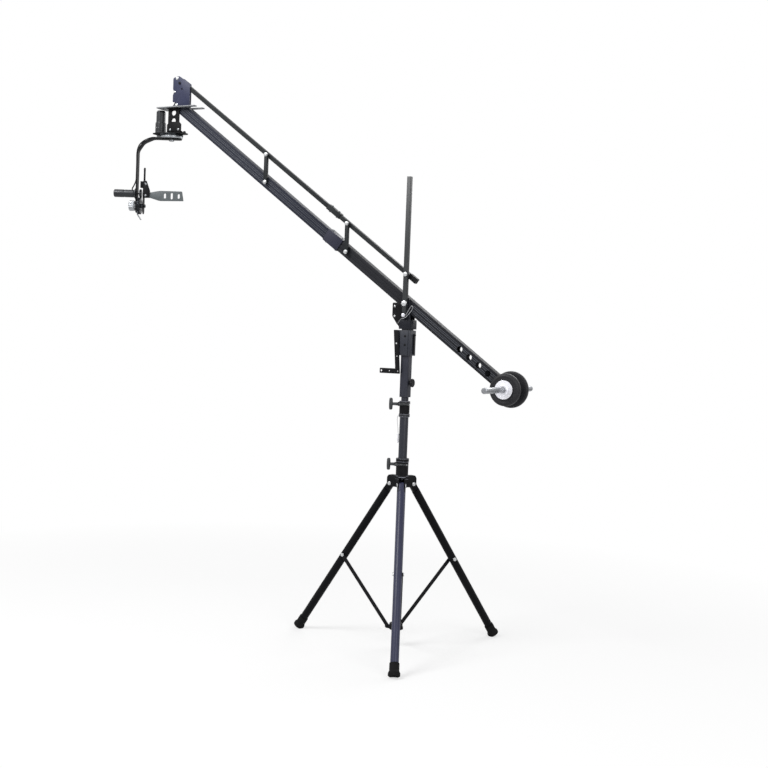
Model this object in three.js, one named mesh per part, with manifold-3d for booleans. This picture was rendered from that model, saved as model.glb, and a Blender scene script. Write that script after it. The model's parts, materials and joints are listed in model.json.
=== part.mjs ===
// Camera jib crane on a folding stand, in millimetres, +Z up.
// The column stands on X = Y = 0, the boom's nose points to -X, its weights to +X,
// and the near side is -Y. The last lines centre the crane's box over the origin.

import * as THREE from 'three';
import { mergeVertices } from 'three/addons/utils/BufferGeometryUtils.js';
import Module from 'manifold-3d';

const wasm = await Module();
wasm.setup();

// Clearances and facets shared by every piece
const gap = 0.3; // between pieces that seat on, fit in or slide along each other
const overrun = 6; // how far a cutter runs past what it cuts
const weldShare = 1e-4;
const roundSides = 16;
const endSteps = 4; // facets round a bar's end
const holeSides = 10;
const smallSides = 6;

// Driving dimensions of the whole crane
const fulcrumHeight = 1500;
const boomSlope = 0.6287; // radians below the horizontal, towards the weights
const frontReach = 1563.5; // fulcrum to the front pivot, along the beam
const weightReach = 592; // fulcrum to the weight bar, along the beam
const pivotRise = 125.7; // beam pivot to rod pivot, straight up
const frontLegTurn = -1.1108; // radians about the column
const headTurn = 0.4363; // radians about the pan axis

// Finishes
const satinBlack = { color: '#15171c', roughness: 0.5, metalness: 0.35 };
const slateBlue = { color: '#232a3d', roughness: 0.45, metalness: 0.4 };
const zinc = { color: '#c4c6c8', roughness: 0.35, metalness: 0.9 };
const chrome = { color: '#d8dadd', roughness: 0.15, metalness: 1 };
const gunmetal = { color: '#5b5f62', roughness: 0.4, metalness: 0.8 };
const blackRubber = { color: '#101012', roughness: 0.9, metalness: 0 };
const blackPlastic = { color: '#1a1b1d', roughness: 0.6, metalness: 0 };

// Solids: closed geometries are welded, then joined and cut

function solidOf(geometry) {
  const bare = geometry.clone();
  bare.deleteAttribute('normal');
  bare.deleteAttribute('uv');
  const welded = mergeVertices(bare, weldShare);
  const corners = welded.index.array;
  const faces = [];
  for (let i = 0; i < corners.length; i += 3) {
    const [a, b, c] = corners.slice(i, i + 3);
    if (a !== b && b !== c && c !== a) {
      faces.push(a, b, c);
    }
  }
  const vertProperties = new Float32Array(welded.attributes.position.array);
  const triVerts = new Uint32Array(faces);
  return new wasm.Manifold(new wasm.Mesh({ numProp: 3, vertProperties, triVerts }));
}

function geometryOf(solid) {
  const { vertProperties, triVerts } = solid.getMesh();
  const geometry = new THREE.BufferGeometry();
  geometry.setAttribute('position', new THREE.BufferAttribute(vertProperties, 3));
  geometry.setIndex(new THREE.BufferAttribute(triVerts, 1));
  geometry.computeVertexNormals();
  return geometry;
}

const join = (...parts) => geometryOf(parts.map(solidOf).reduce((sum, part) => sum.add(part)));
const cut = (...parts) => geometryOf(parts.map(solidOf).reduce((rest, tool) => rest.subtract(tool)));
const keepInside = (part, mould) => geometryOf(solidOf(part).intersect(solidOf(mould)));

function addPiece(parent, name, geometry, finish) {
  const piece = new THREE.Mesh(geometry, new THREE.MeshStandardMaterial(finish));
  piece.name = name;
  parent.add(piece);
  return piece;
}

// A form made about or along y is laid on one of the three axes, where [a, b] are the
// other two coordinates of its line, in the order x, y, z
function layOn(axis, geometry, [a, b]) {
  if (axis === 'x') {
    return geometry.rotateZ(-Math.PI / 2).translate(0, a, b);
  }
  if (axis === 'y') {
    return geometry.translate(a, 0, b);
  }
  return geometry.rotateX(Math.PI / 2).translate(a, b, 0);
}

// A round bar from one end to the other along its axis
function roundBar(axis, radius, from, to, centre = [0, 0], sides = roundSides) {
  const bar = new THREE.CylinderGeometry(radius, radius, to - from, sides);
  return layOn(axis, bar.translate(0, (from + to) / 2, 0), centre);
}

// A cutter for a round hole that clears a bar of the radius given, flats included
function fitHole(axis, radius, from, to, centre = [0, 0], sides = roundSides) {
  return roundBar(axis, (radius + gap) / Math.cos(Math.PI / sides), from, to, centre, sides);
}

// A turned form: the profile lists [radius, place along the axis], from axis to axis
function turned(axis, profile, centre = [0, 0], sides = roundSides) {
  const points = profile.map(([radius, along]) => new THREE.Vector2(radius, along));
  return layOn(axis, new THREE.LatheGeometry(points, sides), centre);
}

function block([x0, x1], [y0, y1], [z0, z1]) {
  const box = new THREE.BoxGeometry(x1 - x0, y1 - y0, z1 - z0);
  return box.translate((x0 + x1) / 2, (y0 + y1) / 2, (z0 + z1) / 2);
}

// A flat outline in the xy, xz or yz plane, given thickness across it
function plate(plane, shape, from, to, curveSegments = 2) {
  const settings = { depth: to - from, bevelEnabled: false, curveSegments };
  const slab = new THREE.ExtrudeGeometry(shape, settings);
  if (plane === 'xy') {
    return slab.translate(0, 0, from);
  }
  if (plane === 'xz') {
    return slab.rotateX(Math.PI / 2).translate(0, to, 0);
  }
  return slab.rotateX(Math.PI / 2).rotateZ(Math.PI / 2).translate(from, 0, 0);
}

// An outline from corners [x, y, corner radius], the radius left out where it is sharp
function outline(corners) {
  const path = new THREE.Shape();
  corners.forEach(([x, y, radius = 0], i) => {
    const corner = new THREE.Vector2(x, y);
    const last = corners.at(i - 1);
    const next = corners[(i + 1) % corners.length];
    const towards = ([px, py]) => new THREE.Vector2(px, py).sub(corner).setLength(radius).add(corner);
    const start = radius > 0 ? towards(last) : corner;
    if (i === 0) {
      path.moveTo(start.x, start.y);
    } else {
      path.lineTo(start.x, start.y);
    }
    if (radius > 0) {
      const end = towards(next);
      path.quadraticCurveTo(corner.x, corner.y, end.x, end.y);
    }
  });
  path.closePath();
  return path;
}

// A rectangle with its corners rounded
function rectangle([x0, x1], [y0, y1], radius = 0) {
  return outline([[x0, y0, radius], [x1, y0, radius], [x1, y1, radius], [x0, y1, radius]]);
}

// A bar's outline with a half round at each end, between two centres
function roundEnded([ax, ay], [bx, by], radius) {
  const turn = Math.atan2(by - ay, bx - ax);
  const halfRound = (x, y, start) => Array.from({ length: endSteps + 1 }, (_, i) => {
    const angle = start + (i * Math.PI) / endSteps;
    return [x + radius * Math.cos(angle), y + radius * Math.sin(angle)];
  });
  return outline([...halfRound(ax, ay, turn + Math.PI / 2), ...halfRound(bx, by, turn - Math.PI / 2)]);
}

// A knob's outline, with flutes that dip from its radius
function fluted(radius, dip, flutes) {
  const points = [];
  for (let i = 0; i < flutes * 2; i += 1) {
    const reach = i % 2 === 0 ? radius : radius - dip;
    const turn = (i * Math.PI) / flutes;
    points.push([reach * Math.cos(turn), reach * Math.sin(turn)]);
  }
  return outline(points);
}

// A spur gear's outline. Each tooth narrows from its root to its tip; the first tooth, or
// the first space, stands on the turn given
function gearOutline({ teeth, module, play }, turn, spaceFirst = false) {
  const pitch = (module * teeth) / 2;
  const rootShare = 1.25;
  const halfTooth = Math.PI / 2 / teeth - play / 2 / pitch;
  const levels = [[pitch - rootShare * module, halfTooth * 1.75], [pitch + module, halfTooth * 0.48]];
  const sides = [...levels.map(([r, a]) => [r, -a]), ...levels.map(([r, a]) => [r, a]).reverse()];
  const points = [];
  for (let tooth = 0; tooth < teeth; tooth += 1) {
    const middle = turn + ((tooth + (spaceFirst ? 0.5 : 0)) * 2 * Math.PI) / teeth;
    sides.forEach(([r, a]) => points.push([r * Math.cos(middle + a), r * Math.sin(middle + a)]));
  }
  return outline(points);
}

// A wire or hose along a smooth line through the points
function wire(points, radius, steps, sides = 6) {
  const line = new THREE.CatmullRomCurve3(points.map((p) => new THREE.Vector3(...p)));
  const section = new THREE.Shape();
  for (let i = 0; i < sides; i += 1) {
    const turn = (i * 2 * Math.PI) / sides;
    const place = [radius * Math.cos(turn), radius * Math.sin(turn)];
    if (i === 0) {
      section.moveTo(...place);
    } else {
      section.lineTo(...place);
    }
  }
  section.closePath();
  return new THREE.ExtrudeGeometry(section, { steps, extrudePath: line, bevelEnabled: false });
}

const crane = new THREE.Group();
crane.name = 'camera_jib_crane';

// Main tube of the stand, with the cap in its lower end and the collar on its top

const mainTube = { radius: 19.05, wall: 2, bottom: 73, top: fulcrumHeight - 450 };
const footCap = { height: 12, plugHeight: 18, chamfer: 3 };
const tee = { screwRadius: 4, stemRadius: 7, neckRadius: 5.8, barRadius: 8.5, barHalfLength: 26 };
const innerTube = {
  radius: 15.875, wall: 2, bottom: fulcrumHeight - 1000, top: fulcrumHeight - 310,
};
const upperCollar = {
  bottom: mainTube.top - 43, top: mainTube.top + 27, radius: 22.5, bandRadius: 24, bandHeight: 14,
  chamfer: 2,
  bossRadius: 9, bossReach: 30, screwHeight: mainTube.top + 13, teeReach: 60,
};
const teeTurn = frontLegTurn - Math.PI / 2; // the T-handled screws point to the left

function makeMainTube() {
  const { radius, wall, bottom, top } = mainTube;
  const bore = roundBar('z', radius - wall, bottom - overrun, top + overrun);
  return cut(roundBar('z', radius, bottom, top), bore);
}

function makeFootCap() {
  const { radius, wall, bottom } = mainTube;
  const { height, plugHeight, chamfer } = footCap;
  const seat = bottom - gap;
  const plug = radius - wall - gap;
  return turned('z', [
    [0, seat - height], [radius - chamfer, seat - height], [radius, seat - height + chamfer],
    [radius, seat], [plug, seat], [plug, seat + plugHeight], [0, seat + plugHeight],
  ]);
}

// A collar's boss that the T-handled screw passes through, pointing to the left
function screwBoss({ bossRadius, bossReach, screwHeight }) {
  return roundBar('x', bossRadius, 0, bossReach, [0, screwHeight]).rotateZ(teeTurn);
}

function screwHole({ bossReach, screwHeight }) {
  const hole = fitHole('x', tee.screwRadius, 0, bossReach + overrun, [0, screwHeight], smallSides);
  return hole.rotateZ(teeTurn);
}

// The tube seats in the wide bore, and the narrow bore above it guides the inner tube
function makeUpperCollar() {
  const { bottom, top, radius, bandRadius, bandHeight, chamfer } = upperCollar;
  const body = turned('z', [
    [0, bottom], [bandRadius - chamfer, bottom], [bandRadius, bottom + chamfer],
    [bandRadius, bottom + bandHeight], [radius, bottom + bandHeight + chamfer],
    [radius, top - bandHeight - chamfer], [bandRadius, top - bandHeight],
    [bandRadius, top - chamfer], [bandRadius - chamfer, top], [0, top],
  ]);
  const wide = roundBar('z', mainTube.radius + gap, bottom - overrun, mainTube.top + gap);
  const narrow = roundBar('z', innerTube.radius + gap, bottom, top + overrun);
  return cut(join(body, screwBoss(upperCollar)), wide, narrow, screwHole(upperCollar));
}

// A screw whose tip bears on the tube, with a tapered stem and a T bar across its end
function makeTee({ bossReach, screwHeight, teeReach }, tubeRadius) {
  const { screwRadius, stemRadius, neckRadius, barRadius, barHalfLength } = tee;
  const tip = tubeRadius + gap;
  const stem = turned('x', [
    [0, tip], [screwRadius, tip], [screwRadius, bossReach + gap], [stemRadius, bossReach + gap],
    [neckRadius, teeReach], [0, teeReach],
  ], [0, screwHeight], smallSides);
  const bar = turned('z', [
    [0, screwHeight - barHalfLength], [barRadius * 0.7, screwHeight - barHalfLength],
    [barRadius * 0.9, screwHeight - barHalfLength * 0.8], [barRadius, screwHeight],
    [barRadius * 0.9, screwHeight + barHalfLength * 0.8],
    [barRadius * 0.7, screwHeight + barHalfLength], [0, screwHeight + barHalfLength],
  ], [teeReach, 0], smallSides);
  return join(stem, bar).rotateZ(teeTurn);
}

addPiece(crane, 'main_tube', makeMainTube(), slateBlue);
addPiece(crane, 'tube_foot_cap', makeFootCap(), blackPlastic);
addPiece(crane, 'upper_collar', makeUpperCollar(), satinBlack);
addPiece(crane, 'upper_t_knob', makeTee(upperCollar, innerTube.radius), blackPlastic);

// Folding legs: each leg hangs between two ears of the sliding leg hub, and its strut
// runs back to a lug of the hub that is fixed low on the tube

const legCount = 3;
const leg = {
  pivotReach: 52.7, footLift: 11.98, length: 841, slope: 0.5842, radius: 17.5, wall: 2,
  fittingLength: 34, fittingHalfWidth: 11, fittingRadius: 14, strutBolt: 411.7, footInset: 15,
};
const legPivotHeight = leg.footLift + leg.length * Math.cos(leg.slope);
const bolt = { radius: 4, headRadius: 7.5, headHeight: 4 };
const legHub = {
  bottom: legPivotHeight + 21.5, top: legPivotHeight + 113.5, radius: 28.5, skirtRadius: 26.5,
  earThickness: 5, earBottom: legPivotHeight - 13.5,
  earTop: legPivotHeight + 37.5, earNose: 13.3, earRound: 10,
  bossRadius: 9, bossReach: 34, screwHeight: legPivotHeight + 86.5, teeReach: 60,
};
const spreader = {
  height: 88, halfHeight: 14, radius: 29, lugReach: 32, lugRadius: 9, lugThickness: 5,
};
const strut = { thickness: 4, halfWidth: 8.5 };
const boot = {
  cupRadius: 20.5, cupTop: 50, tipRadius: 25, tipStart: -2.5, tipHeight: 9, flare: 18,
};

// Height of a point down the leg above the floor, and its distance from the column
const downLeg = (length) => [
  leg.pivotReach + length * Math.sin(leg.slope), legPivotHeight - length * Math.cos(leg.slope),
];

function makeLegHub() {
  const { bottom, top, radius, skirtRadius, earBottom, earTop } = legHub;
  let hub = turned('z', [
    [0, earBottom], [skirtRadius, earBottom], [skirtRadius, bottom], [radius, bottom], [radius, top],
    [0, top],
  ]);
  const nose = leg.pivotReach + legHub.earNose;
  const ear = outline([
    [mainTube.radius, earBottom], [nose, earBottom, legHub.earRound],
    [nose, legPivotHeight + legHub.earNose, legHub.earRound],
    [leg.pivotReach, earTop, legHub.earRound], [mainTube.radius, earTop],
  ]);
  const near = leg.fittingHalfWidth + gap;
  const far = near + legHub.earThickness;
  const head = far + bolt.headHeight;
  for (let i = 0; i < legCount; i += 1) {
    const turn = frontLegTurn + (i * 2 * Math.PI) / legCount;
    const pivot = [leg.pivotReach, legPivotHeight];
    const ears = [plate('xz', ear, near, far), plate('xz', ear, -far, -near)];
    const pin = roundBar('y', bolt.radius, -head, head, pivot, smallSides);
    const heads = [
      roundBar('y', bolt.headRadius, far - bolt.radius, head, pivot, smallSides),
      roundBar('y', bolt.headRadius, -head, bolt.radius - far, pivot, smallSides),
    ];
    const roof = block([mainTube.radius, leg.pivotReach - legHub.earRound / 2], [-far, far],
      [earTop - legHub.earThickness, earTop]);
    hub = join(hub, ...[...ears, roof, pin, ...heads].map((part) => part.rotateZ(turn)));
  }
  hub = join(hub, screwBoss(legHub));
  const bore = roundBar('z', mainTube.radius + gap, earBottom - overrun, top + overrun);
  return cut(hub, bore, screwHole(legHub));
}

function makeSpreaderHub() {
  const { height, halfHeight, radius, lugReach, lugRadius, lugThickness } = spreader;
  const near = leg.radius + gap + strut.thickness + gap;
  let hub = roundBar('z', radius, height - halfHeight, height + halfHeight);
  for (let i = 0; i < legCount; i += 1) {
    const lug = plate('xz', roundEnded([lugRadius, height], [lugReach, height], lugRadius), near,
      near + lugThickness);
    const head = roundBar('y', bolt.headRadius, near + bolt.radius, near + lugThickness + bolt.headHeight,
      [lugReach, height], smallSides);
    hub = join(hub, join(lug, head).rotateZ(frontLegTurn + (i * 2 * Math.PI) / legCount));
  }
  const bore = roundBar('z', mainTube.radius + gap, height - halfHeight - overrun,
    height + halfHeight + overrun);
  return cut(hub, bore);
}

// The leg lies in its own frame: the pivot is the origin and the tube hangs down z
function makeLeg() {
  const { length, radius, wall, fittingLength, fittingHalfWidth, fittingRadius, strutBolt } = leg;
  const end = -length + leg.footInset;
  const side = radius + gap + strut.thickness + gap;
  const fitting = plate('xz', roundEnded([0, 0], [0, -fittingLength - fittingRadius], fittingRadius),
    -fittingHalfWidth, fittingHalfWidth);
  const tube = roundBar('z', radius, end, -fittingLength);
  const shank = roundBar('y', bolt.radius, 0, side + bolt.headHeight, [0, -strutBolt], smallSides);
  const head = roundBar('y', bolt.headRadius, side, side + bolt.headHeight, [0, -strutBolt], smallSides);
  const bore = roundBar('z', radius - wall, end - overrun, -fittingLength - 2 * fittingRadius - wall);
  const pinHole = fitHole('y', bolt.radius, -radius, radius, [0, 0], smallSides);
  return cut(join(fitting, tube, shank, head), bore, pinHole);
}

// The rubber boot on the leg's end flares towards its tip, whose lower rim stands on the floor
function makeBoot() {
  const [footX, footZ] = downLeg(leg.length);
  const lean = (part) => part.rotateY(-leg.slope).translate(footX, 0, footZ);
  const { cupRadius, cupTop, tipRadius, tipStart, tipHeight, flare } = boot;
  const cup = lean(turned('z', [
    [0, tipStart], [tipRadius, tipStart], [tipRadius, tipHeight], [cupRadius, flare],
    [cupRadius, cupTop], [0, cupTop],
  ]));
  const socket = lean(roundBar('z', leg.radius + gap, leg.footInset - gap, cupTop + overrun));
  const floor = block([footX - leg.length, footX + leg.length], [-leg.length, leg.length],
    [-leg.length, 0]);
  return cut(cup, socket, floor);
}

function makeStrut() {
  const [topX, topZ] = downLeg(leg.strutBolt);
  const bar = roundEnded([topX, topZ], [spreader.lugReach, spreader.height], strut.halfWidth);
  const side = leg.radius + gap;
  const hole = fitHole('y', bolt.radius, 0, side + leg.radius, [topX, topZ], smallSides);
  return cut(plate('xz', bar, side, side + strut.thickness), hole);
}

addPiece(crane, 'leg_hub', makeLegHub(), satinBlack);
addPiece(crane, 'lower_t_knob', makeTee(legHub, mainTube.radius), blackPlastic);
addPiece(crane, 'spreader_hub', makeSpreaderHub(), satinBlack);
for (let i = 0; i < legCount; i += 1) {
  const side = new THREE.Group();
  side.rotation.z = frontLegTurn + (i * 2 * Math.PI) / legCount;
  crane.add(side);
  const lean = new THREE.Group();
  lean.position.set(leg.pivotReach, 0, legPivotHeight);
  lean.rotation.y = -leg.slope;
  side.add(lean);
  addPiece(lean, `leg_${i + 1}`, makeLeg(), i === 0 ? slateBlue : satinBlack);
  addPiece(side, `foot_${i + 1}`, makeBoot(), blackRubber);
  addPiece(side, `strut_${i + 1}`, makeStrut(), satinBlack);
}

// Riser: the round inner tube, the square post clamped on it, and the sleeve on the post

const post = {
  halfWidth: 19, wall: 2.8, corner: 4, bottom: fulcrumHeight - 406, top: fulcrumHeight - 122,
};
const clampKnob = {
  height: post.bottom + 63, screwRadius: 4, collar: 9, radius: 18.5, thickness: 10, dip: 1.4, flutes: 12,
};
const sleeve = {
  halfWidth: 28.5, corner: 5, bottom: fulcrumHeight - 225, top: fulcrumHeight - 115, spigotRadius: 26,
  spigotHeight: 4.2, lugReach: 15, lugThickness: 12, lugHeight: 84,
  slitWidth: 2.5, slitDepth: 3, slitInset: 9,
};
const bracket = {
  left: -35, right: -14, lean: 15.5, top: sleeve.top, bottom: sleeve.bottom - 80,
  armTop: sleeve.bottom - 57.5, armReach: -112, thickness: 5,
  corner: 4, holeRadius: 3.4, boltRadius: 5, boltHeight: 2.5,
};
const lockLever = {
  hingeHeight: sleeve.top - 20, length: 79, radius: 5.5, thickness: 5, pinRadius: 4, place: 5,
};

function makeInnerTube() {
  const { radius, wall, bottom, top } = innerTube;
  const bore = roundBar('z', radius - wall, bottom - overrun, top + overrun);
  return cut(roundBar('z', radius, bottom, top), bore);
}

const squareAcross = (half, corner) => rectangle([-half, half], [-half, half], corner);

function makePost() {
  const { halfWidth, wall, corner, bottom, top } = post;
  const outer = plate('xy', squareAcross(halfWidth, corner), bottom, top, 4);
  const inner = plate('xy', squareAcross(halfWidth - wall, corner - wall), bottom - overrun,
    top + overrun, 4);
  const hole = fitHole('x', clampKnob.screwRadius, 0, halfWidth + overrun, [0, clampKnob.height],
    smallSides);
  return cut(outer, inner, hole);
}

function makeClampKnob() {
  const { height, screwRadius, collar, radius, thickness, dip, flutes } = clampKnob;
  const seat = post.halfWidth + gap;
  const screw = roundBar('x', screwRadius, innerTube.radius + gap, seat + collar, [0, height], smallSides);
  const neck = roundBar('x', 2 * screwRadius, seat, seat + collar, [0, height], smallSides);
  const grip = plate('yz', fluted(radius, dip, flutes), seat + collar, seat + collar + thickness);
  return join(screw, neck, grip.translate(0, 0, height));
}

// The sleeve is closed by its top, which carries the round spigot that the yoke turns on
function makeSleeve() {
  const { halfWidth, corner, bottom, top, spigotRadius, spigotHeight } = sleeve;
  const { lugReach, lugThickness, lugHeight } = sleeve;
  const body = plate('xy', squareAcross(halfWidth, corner), bottom, top);
  const lug = block([-halfWidth - lugReach, 0], [-halfWidth, lugThickness - halfWidth],
    [top - lugHeight, top]);
  const spigot = roundBar('z', spigotRadius, top - overrun, top + spigotHeight, [0, 0], 20);
  const bore = plate('xy', squareAcross(post.halfWidth + gap, post.corner), bottom - overrun,
    post.top + gap, 4);
  const { slitWidth, slitDepth, slitInset } = sleeve;
  const slit = block([halfWidth - slitInset - slitWidth, halfWidth - slitInset],
    [-halfWidth - overrun, slitDepth - halfWidth], [bottom - overrun, top + overrun]);
  return cut(join(body, lug, spigot), bore, slit);
}

// An L of flat bar on the sleeve's near face: its limb leans out, its foot points to the left
function makeBracket() {
  const { left, right, lean, top, bottom, armTop, armReach, thickness, corner, holeRadius } = bracket;
  const shape = outline([
    [armReach, bottom, corner], [right, bottom, corner], [right - lean, top, corner],
    [left - lean, top, corner], [left, armTop], [armReach, armTop, corner],
  ]);
  const face = -sleeve.halfWidth - gap;
  const armMiddle = (bottom + armTop) / 2;
  const limbMiddle = (left + right) / 2;
  const limbAt = (z) => limbMiddle - (lean * (z - bottom)) / (top - bottom);
  const holePlaces = [
    [limbAt(sleeve.bottom), sleeve.bottom - corner], [limbMiddle, armMiddle],
    [(limbMiddle + armReach) / 2.1, armMiddle], [armReach + 2 * holeRadius, armMiddle],
  ];
  const holes = holePlaces.map((place) =>
    roundBar('y', holeRadius, face - thickness - overrun, face + overrun, place, smallSides));
  const boltHeight = top - sleeve.lugHeight * 0.7;
  const head = roundBar('y', bracket.boltRadius, face - thickness - bracket.boltHeight,
    face - thickness / 2, [limbAt(boltHeight), boltHeight], smallSides);
  return cut(join(plate('xz', shape, face - thickness, face), head), ...holes);
}

function makeLockLever() {
  const { hingeHeight, length, radius, thickness, pinRadius, place } = lockLever;
  const face = sleeve.halfWidth + gap;
  const arm = roundEnded([place, hingeHeight], [place, hingeHeight - length], radius);
  const head = roundBar('x', pinRadius, face + thickness / 2, face + thickness + pinRadius,
    [place, hingeHeight], smallSides);
  return join(plate('yz', arm, face, face + thickness), head);
}

addPiece(crane, 'inner_tube', makeInnerTube(), gunmetal);
addPiece(crane, 'square_post', makePost(), slateBlue);
addPiece(crane, 'clamp_knob', makeClampKnob(), blackPlastic);
addPiece(crane, 'sleeve', makeSleeve(), slateBlue);
addPiece(crane, 'l_bracket', makeBracket(), satinBlack);
addPiece(crane, 'pan_lock_lever', makeLockLever(), blackPlastic);

// Yoke: it turns on the sleeve's spigot and holds the boom between two cheeks

const beam = { halfWidth: 19, halfHeight: 25.1, wall: 3, groove: 1.2, grooveHalf: 9, nose: 21, tail: 30 };
const yoke = {
  halfLength: 29, halfWidth: 32, blockTop: fulcrumHeight - 70, corner: 5, cheekThickness: 5.5,
  cheekClearance: 0.5, cheekLeft: -58, cheekRight: 21, cheekTop: fulcrumHeight + 24,
  wingTop: fulcrumHeight, wingBottom: fulcrumHeight - 88, wingTaper: 30, farChamfer: 14,
  sideBoltRadius: 5, sideBoltPlace: -8, sideBoltHeight: fulcrumHeight - 82,
};
const fulcrum = { radius: 8, headRadius: 12.5, headHeight: 9 };
const lockPlate = {
  left: -62, right: -14, top: fulcrumHeight + 3, bottom: fulcrumHeight - 94, taper: 27, thickness: 6,
  boltInset: 12,
};
const upright = { halfWidth: 9.5, wall: 2, corner: 1.5, below: 64, top: fulcrumHeight + 545 };
const quickPin = { radius: 4, drop: 51, knobRadius: 8, knobHeight: 12, ringRadius: 5.5 };
const rod = { width: 19, wall: 2, tail: 50, radius: 5 };

const cheekFace = beam.halfWidth + yoke.cheekClearance;
const cheekOutside = cheekFace + yoke.cheekThickness;
const uprightNear = -(cheekOutside + gap + 2 * upright.halfWidth);

function makeYoke() {
  const { halfLength, halfWidth, blockTop, corner, cheekLeft, cheekRight, cheekTop, wingTop } = yoke;
  const bottom = sleeve.top + sleeve.spigotHeight + gap;
  const { farChamfer, sideBoltRadius, sideBoltPlace, sideBoltHeight } = yoke;
  const end = outline([
    [-halfWidth, bottom], [halfWidth, bottom], [halfWidth, blockTop - farChamfer],
    [halfWidth - farChamfer / 2, blockTop], [-halfWidth, blockTop],
  ]);
  const base = keepInside(plate('yz', end, -halfLength, halfLength),
    plate('xy', rectangle([-halfLength, halfLength], [-halfWidth, halfWidth], corner), bottom, blockTop));
  const top = cheekTop - fulcrumHeight;
  const topRound = (cheekRight + top) * 0.45;
  const cheek = outline([
    [-halfLength, bottom], [cheekRight, bottom], [cheekRight, cheekTop, topRound],
    [-top, cheekTop, topRound], [-top, wingTop], [cheekLeft, wingTop, corner],
    [cheekLeft, yoke.wingBottom + yoke.wingTaper],
    [-halfLength, bottom + overrun],
  ]);
  const pieces = [
    plate('xz', cheek, -cheekOutside, -cheekFace), plate('xz', cheek, cheekFace, cheekOutside),
    roundBar('x', sideBoltRadius, 0, halfLength + sideBoltRadius / 2, [sideBoltPlace, sideBoltHeight],
      smallSides),
  ];
  const through = fitHole('y', fulcrum.radius, -2 * cheekOutside, 2 * cheekOutside, [0, fulcrumHeight]);
  const pinHole = fitHole('y', quickPin.radius, -2 * cheekOutside, 0,
    [0, fulcrumHeight - quickPin.drop], smallSides);
  // A seat for the upright's foot is milled into the block's near side
  const seat = block([-upright.halfWidth - gap, upright.halfWidth + gap],
    [uprightNear - overrun, -cheekOutside - gap],
    [fulcrumHeight - upright.below - gap, blockTop + overrun]);
  return cut(join(base, ...pieces), through, pinHole, seat);
}

function makeLockPlate() {
  const { left, right, top, bottom, taper, thickness, boltInset } = lockPlate;
  const corner = yoke.corner;
  const shape = outline([
    [left + taper, bottom, corner], [right - taper / 4, bottom, corner], [right, bottom + taper],
    [right, top, corner], [left, top, corner], [left, bottom + 1.4 * taper, corner],
  ]);
  const near = -cheekOutside - gap - thickness;
  const heads = [top - 1.3 * boltInset, bottom + 3.2 * boltInset].map((z) =>
    roundBar('y', bolt.radius * 1.25, near - bolt.radius * 0.6, near + thickness / 2, [left + boltInset, z],
      smallSides));
  const slab = plate('xz', shape, near, near + thickness);
  const baseRelief = block([-yoke.halfLength - gap, right + overrun], [-yoke.halfWidth - gap, 0],
    [bottom - overrun, yoke.blockTop + gap]);
  return join(cut(slab, baseRelief), ...heads);
}

// The bolt clamps the upright and both cheeks, with a large nut on the near side
function makeFulcrumBolt() {
  const near = uprightNear - gap;
  return turned('y', [
    [0, near - fulcrum.headHeight], [fulcrum.headRadius * 0.85, near - fulcrum.headHeight],
    [fulcrum.headRadius, near - fulcrum.headHeight * 0.7], [fulcrum.headRadius, near],
    [fulcrum.radius, near], [fulcrum.radius, cheekOutside + gap],
    [fulcrum.headRadius, cheekOutside + gap],
    [fulcrum.headRadius, cheekOutside + gap + fulcrum.headHeight],
    [0, cheekOutside + gap + fulcrum.headHeight],
  ], [0, fulcrumHeight], 12);
}

function makeUpright() {
  const { halfWidth, wall, corner, below, top } = upright;
  const middle = uprightNear + halfWidth;
  const bottom = fulcrumHeight - below;
  const tube = plate('xy', squareAcross(halfWidth, corner), bottom, top, 3).translate(0, middle, 0);
  const bore = plate('xy', squareAcross(halfWidth - wall, 0), bottom - overrun, top + overrun);
  const holes = [
    [fulcrum.radius, fulcrumHeight], [quickPin.radius, fulcrumHeight - quickPin.drop],
    [rod.radius, fulcrumHeight + pivotRise],
  ].map(([radius, z]) => fitHole('y', radius, uprightNear - overrun, 0, [0, z], smallSides));
  return cut(tube, bore.translate(0, middle, 0), ...holes);
}

function makeQuickPin() {
  const { radius, drop, knobRadius, knobHeight, ringRadius } = quickPin;
  const near = uprightNear - gap;
  return turned('y', [
    [0, near - knobHeight], [ringRadius, near - knobHeight], [ringRadius, near - knobHeight / 2],
    [knobRadius, near - knobHeight / 2], [knobRadius, near], [radius, near],
    [radius, -cheekFace - radius], [0, -cheekFace],
  ], [0, fulcrumHeight - drop], 10);
}

// The rod's pivot: a bolt through the upright, with a spacer between upright and rod
function makeRodPivot() {
  const near = uprightNear - gap;
  const far = -cheekOutside;
  const { radius } = rod;
  const rodNear = -beam.halfWidth;
  return turned('y', [
    [0, near - radius], [2 * radius, near - radius], [2 * radius, near], [radius, near],
    [radius, far], [1.8 * radius, far], [1.8 * radius, rodNear - gap], [radius, rodNear - gap],
    [radius, rodNear + rod.width + gap], [2 * radius, rodNear + rod.width + gap],
    [2 * radius, rodNear + rod.width + radius], [0, rodNear + rod.width + radius],
  ], [0, fulcrumHeight + pivotRise], 8);
}

addPiece(crane, 'yoke', makeYoke(), slateBlue);
addPiece(crane, 'lock_plate', makeLockPlate(), satinBlack);
addPiece(crane, 'fulcrum_bolt', makeFulcrumBolt(), zinc);
addPiece(crane, 'upright_handle', makeUpright(), satinBlack);
addPiece(crane, 'quick_release_pin', makeQuickPin(), chrome);
addPiece(crane, 'rod_pivot_bolt', makeRodPivot(), zinc);

// Boom: a beam of two lengths joined by a splice, a rod of two lengths above it, and two
// upright links between them. The beam's frame lies along the boom, x towards the weights

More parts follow.
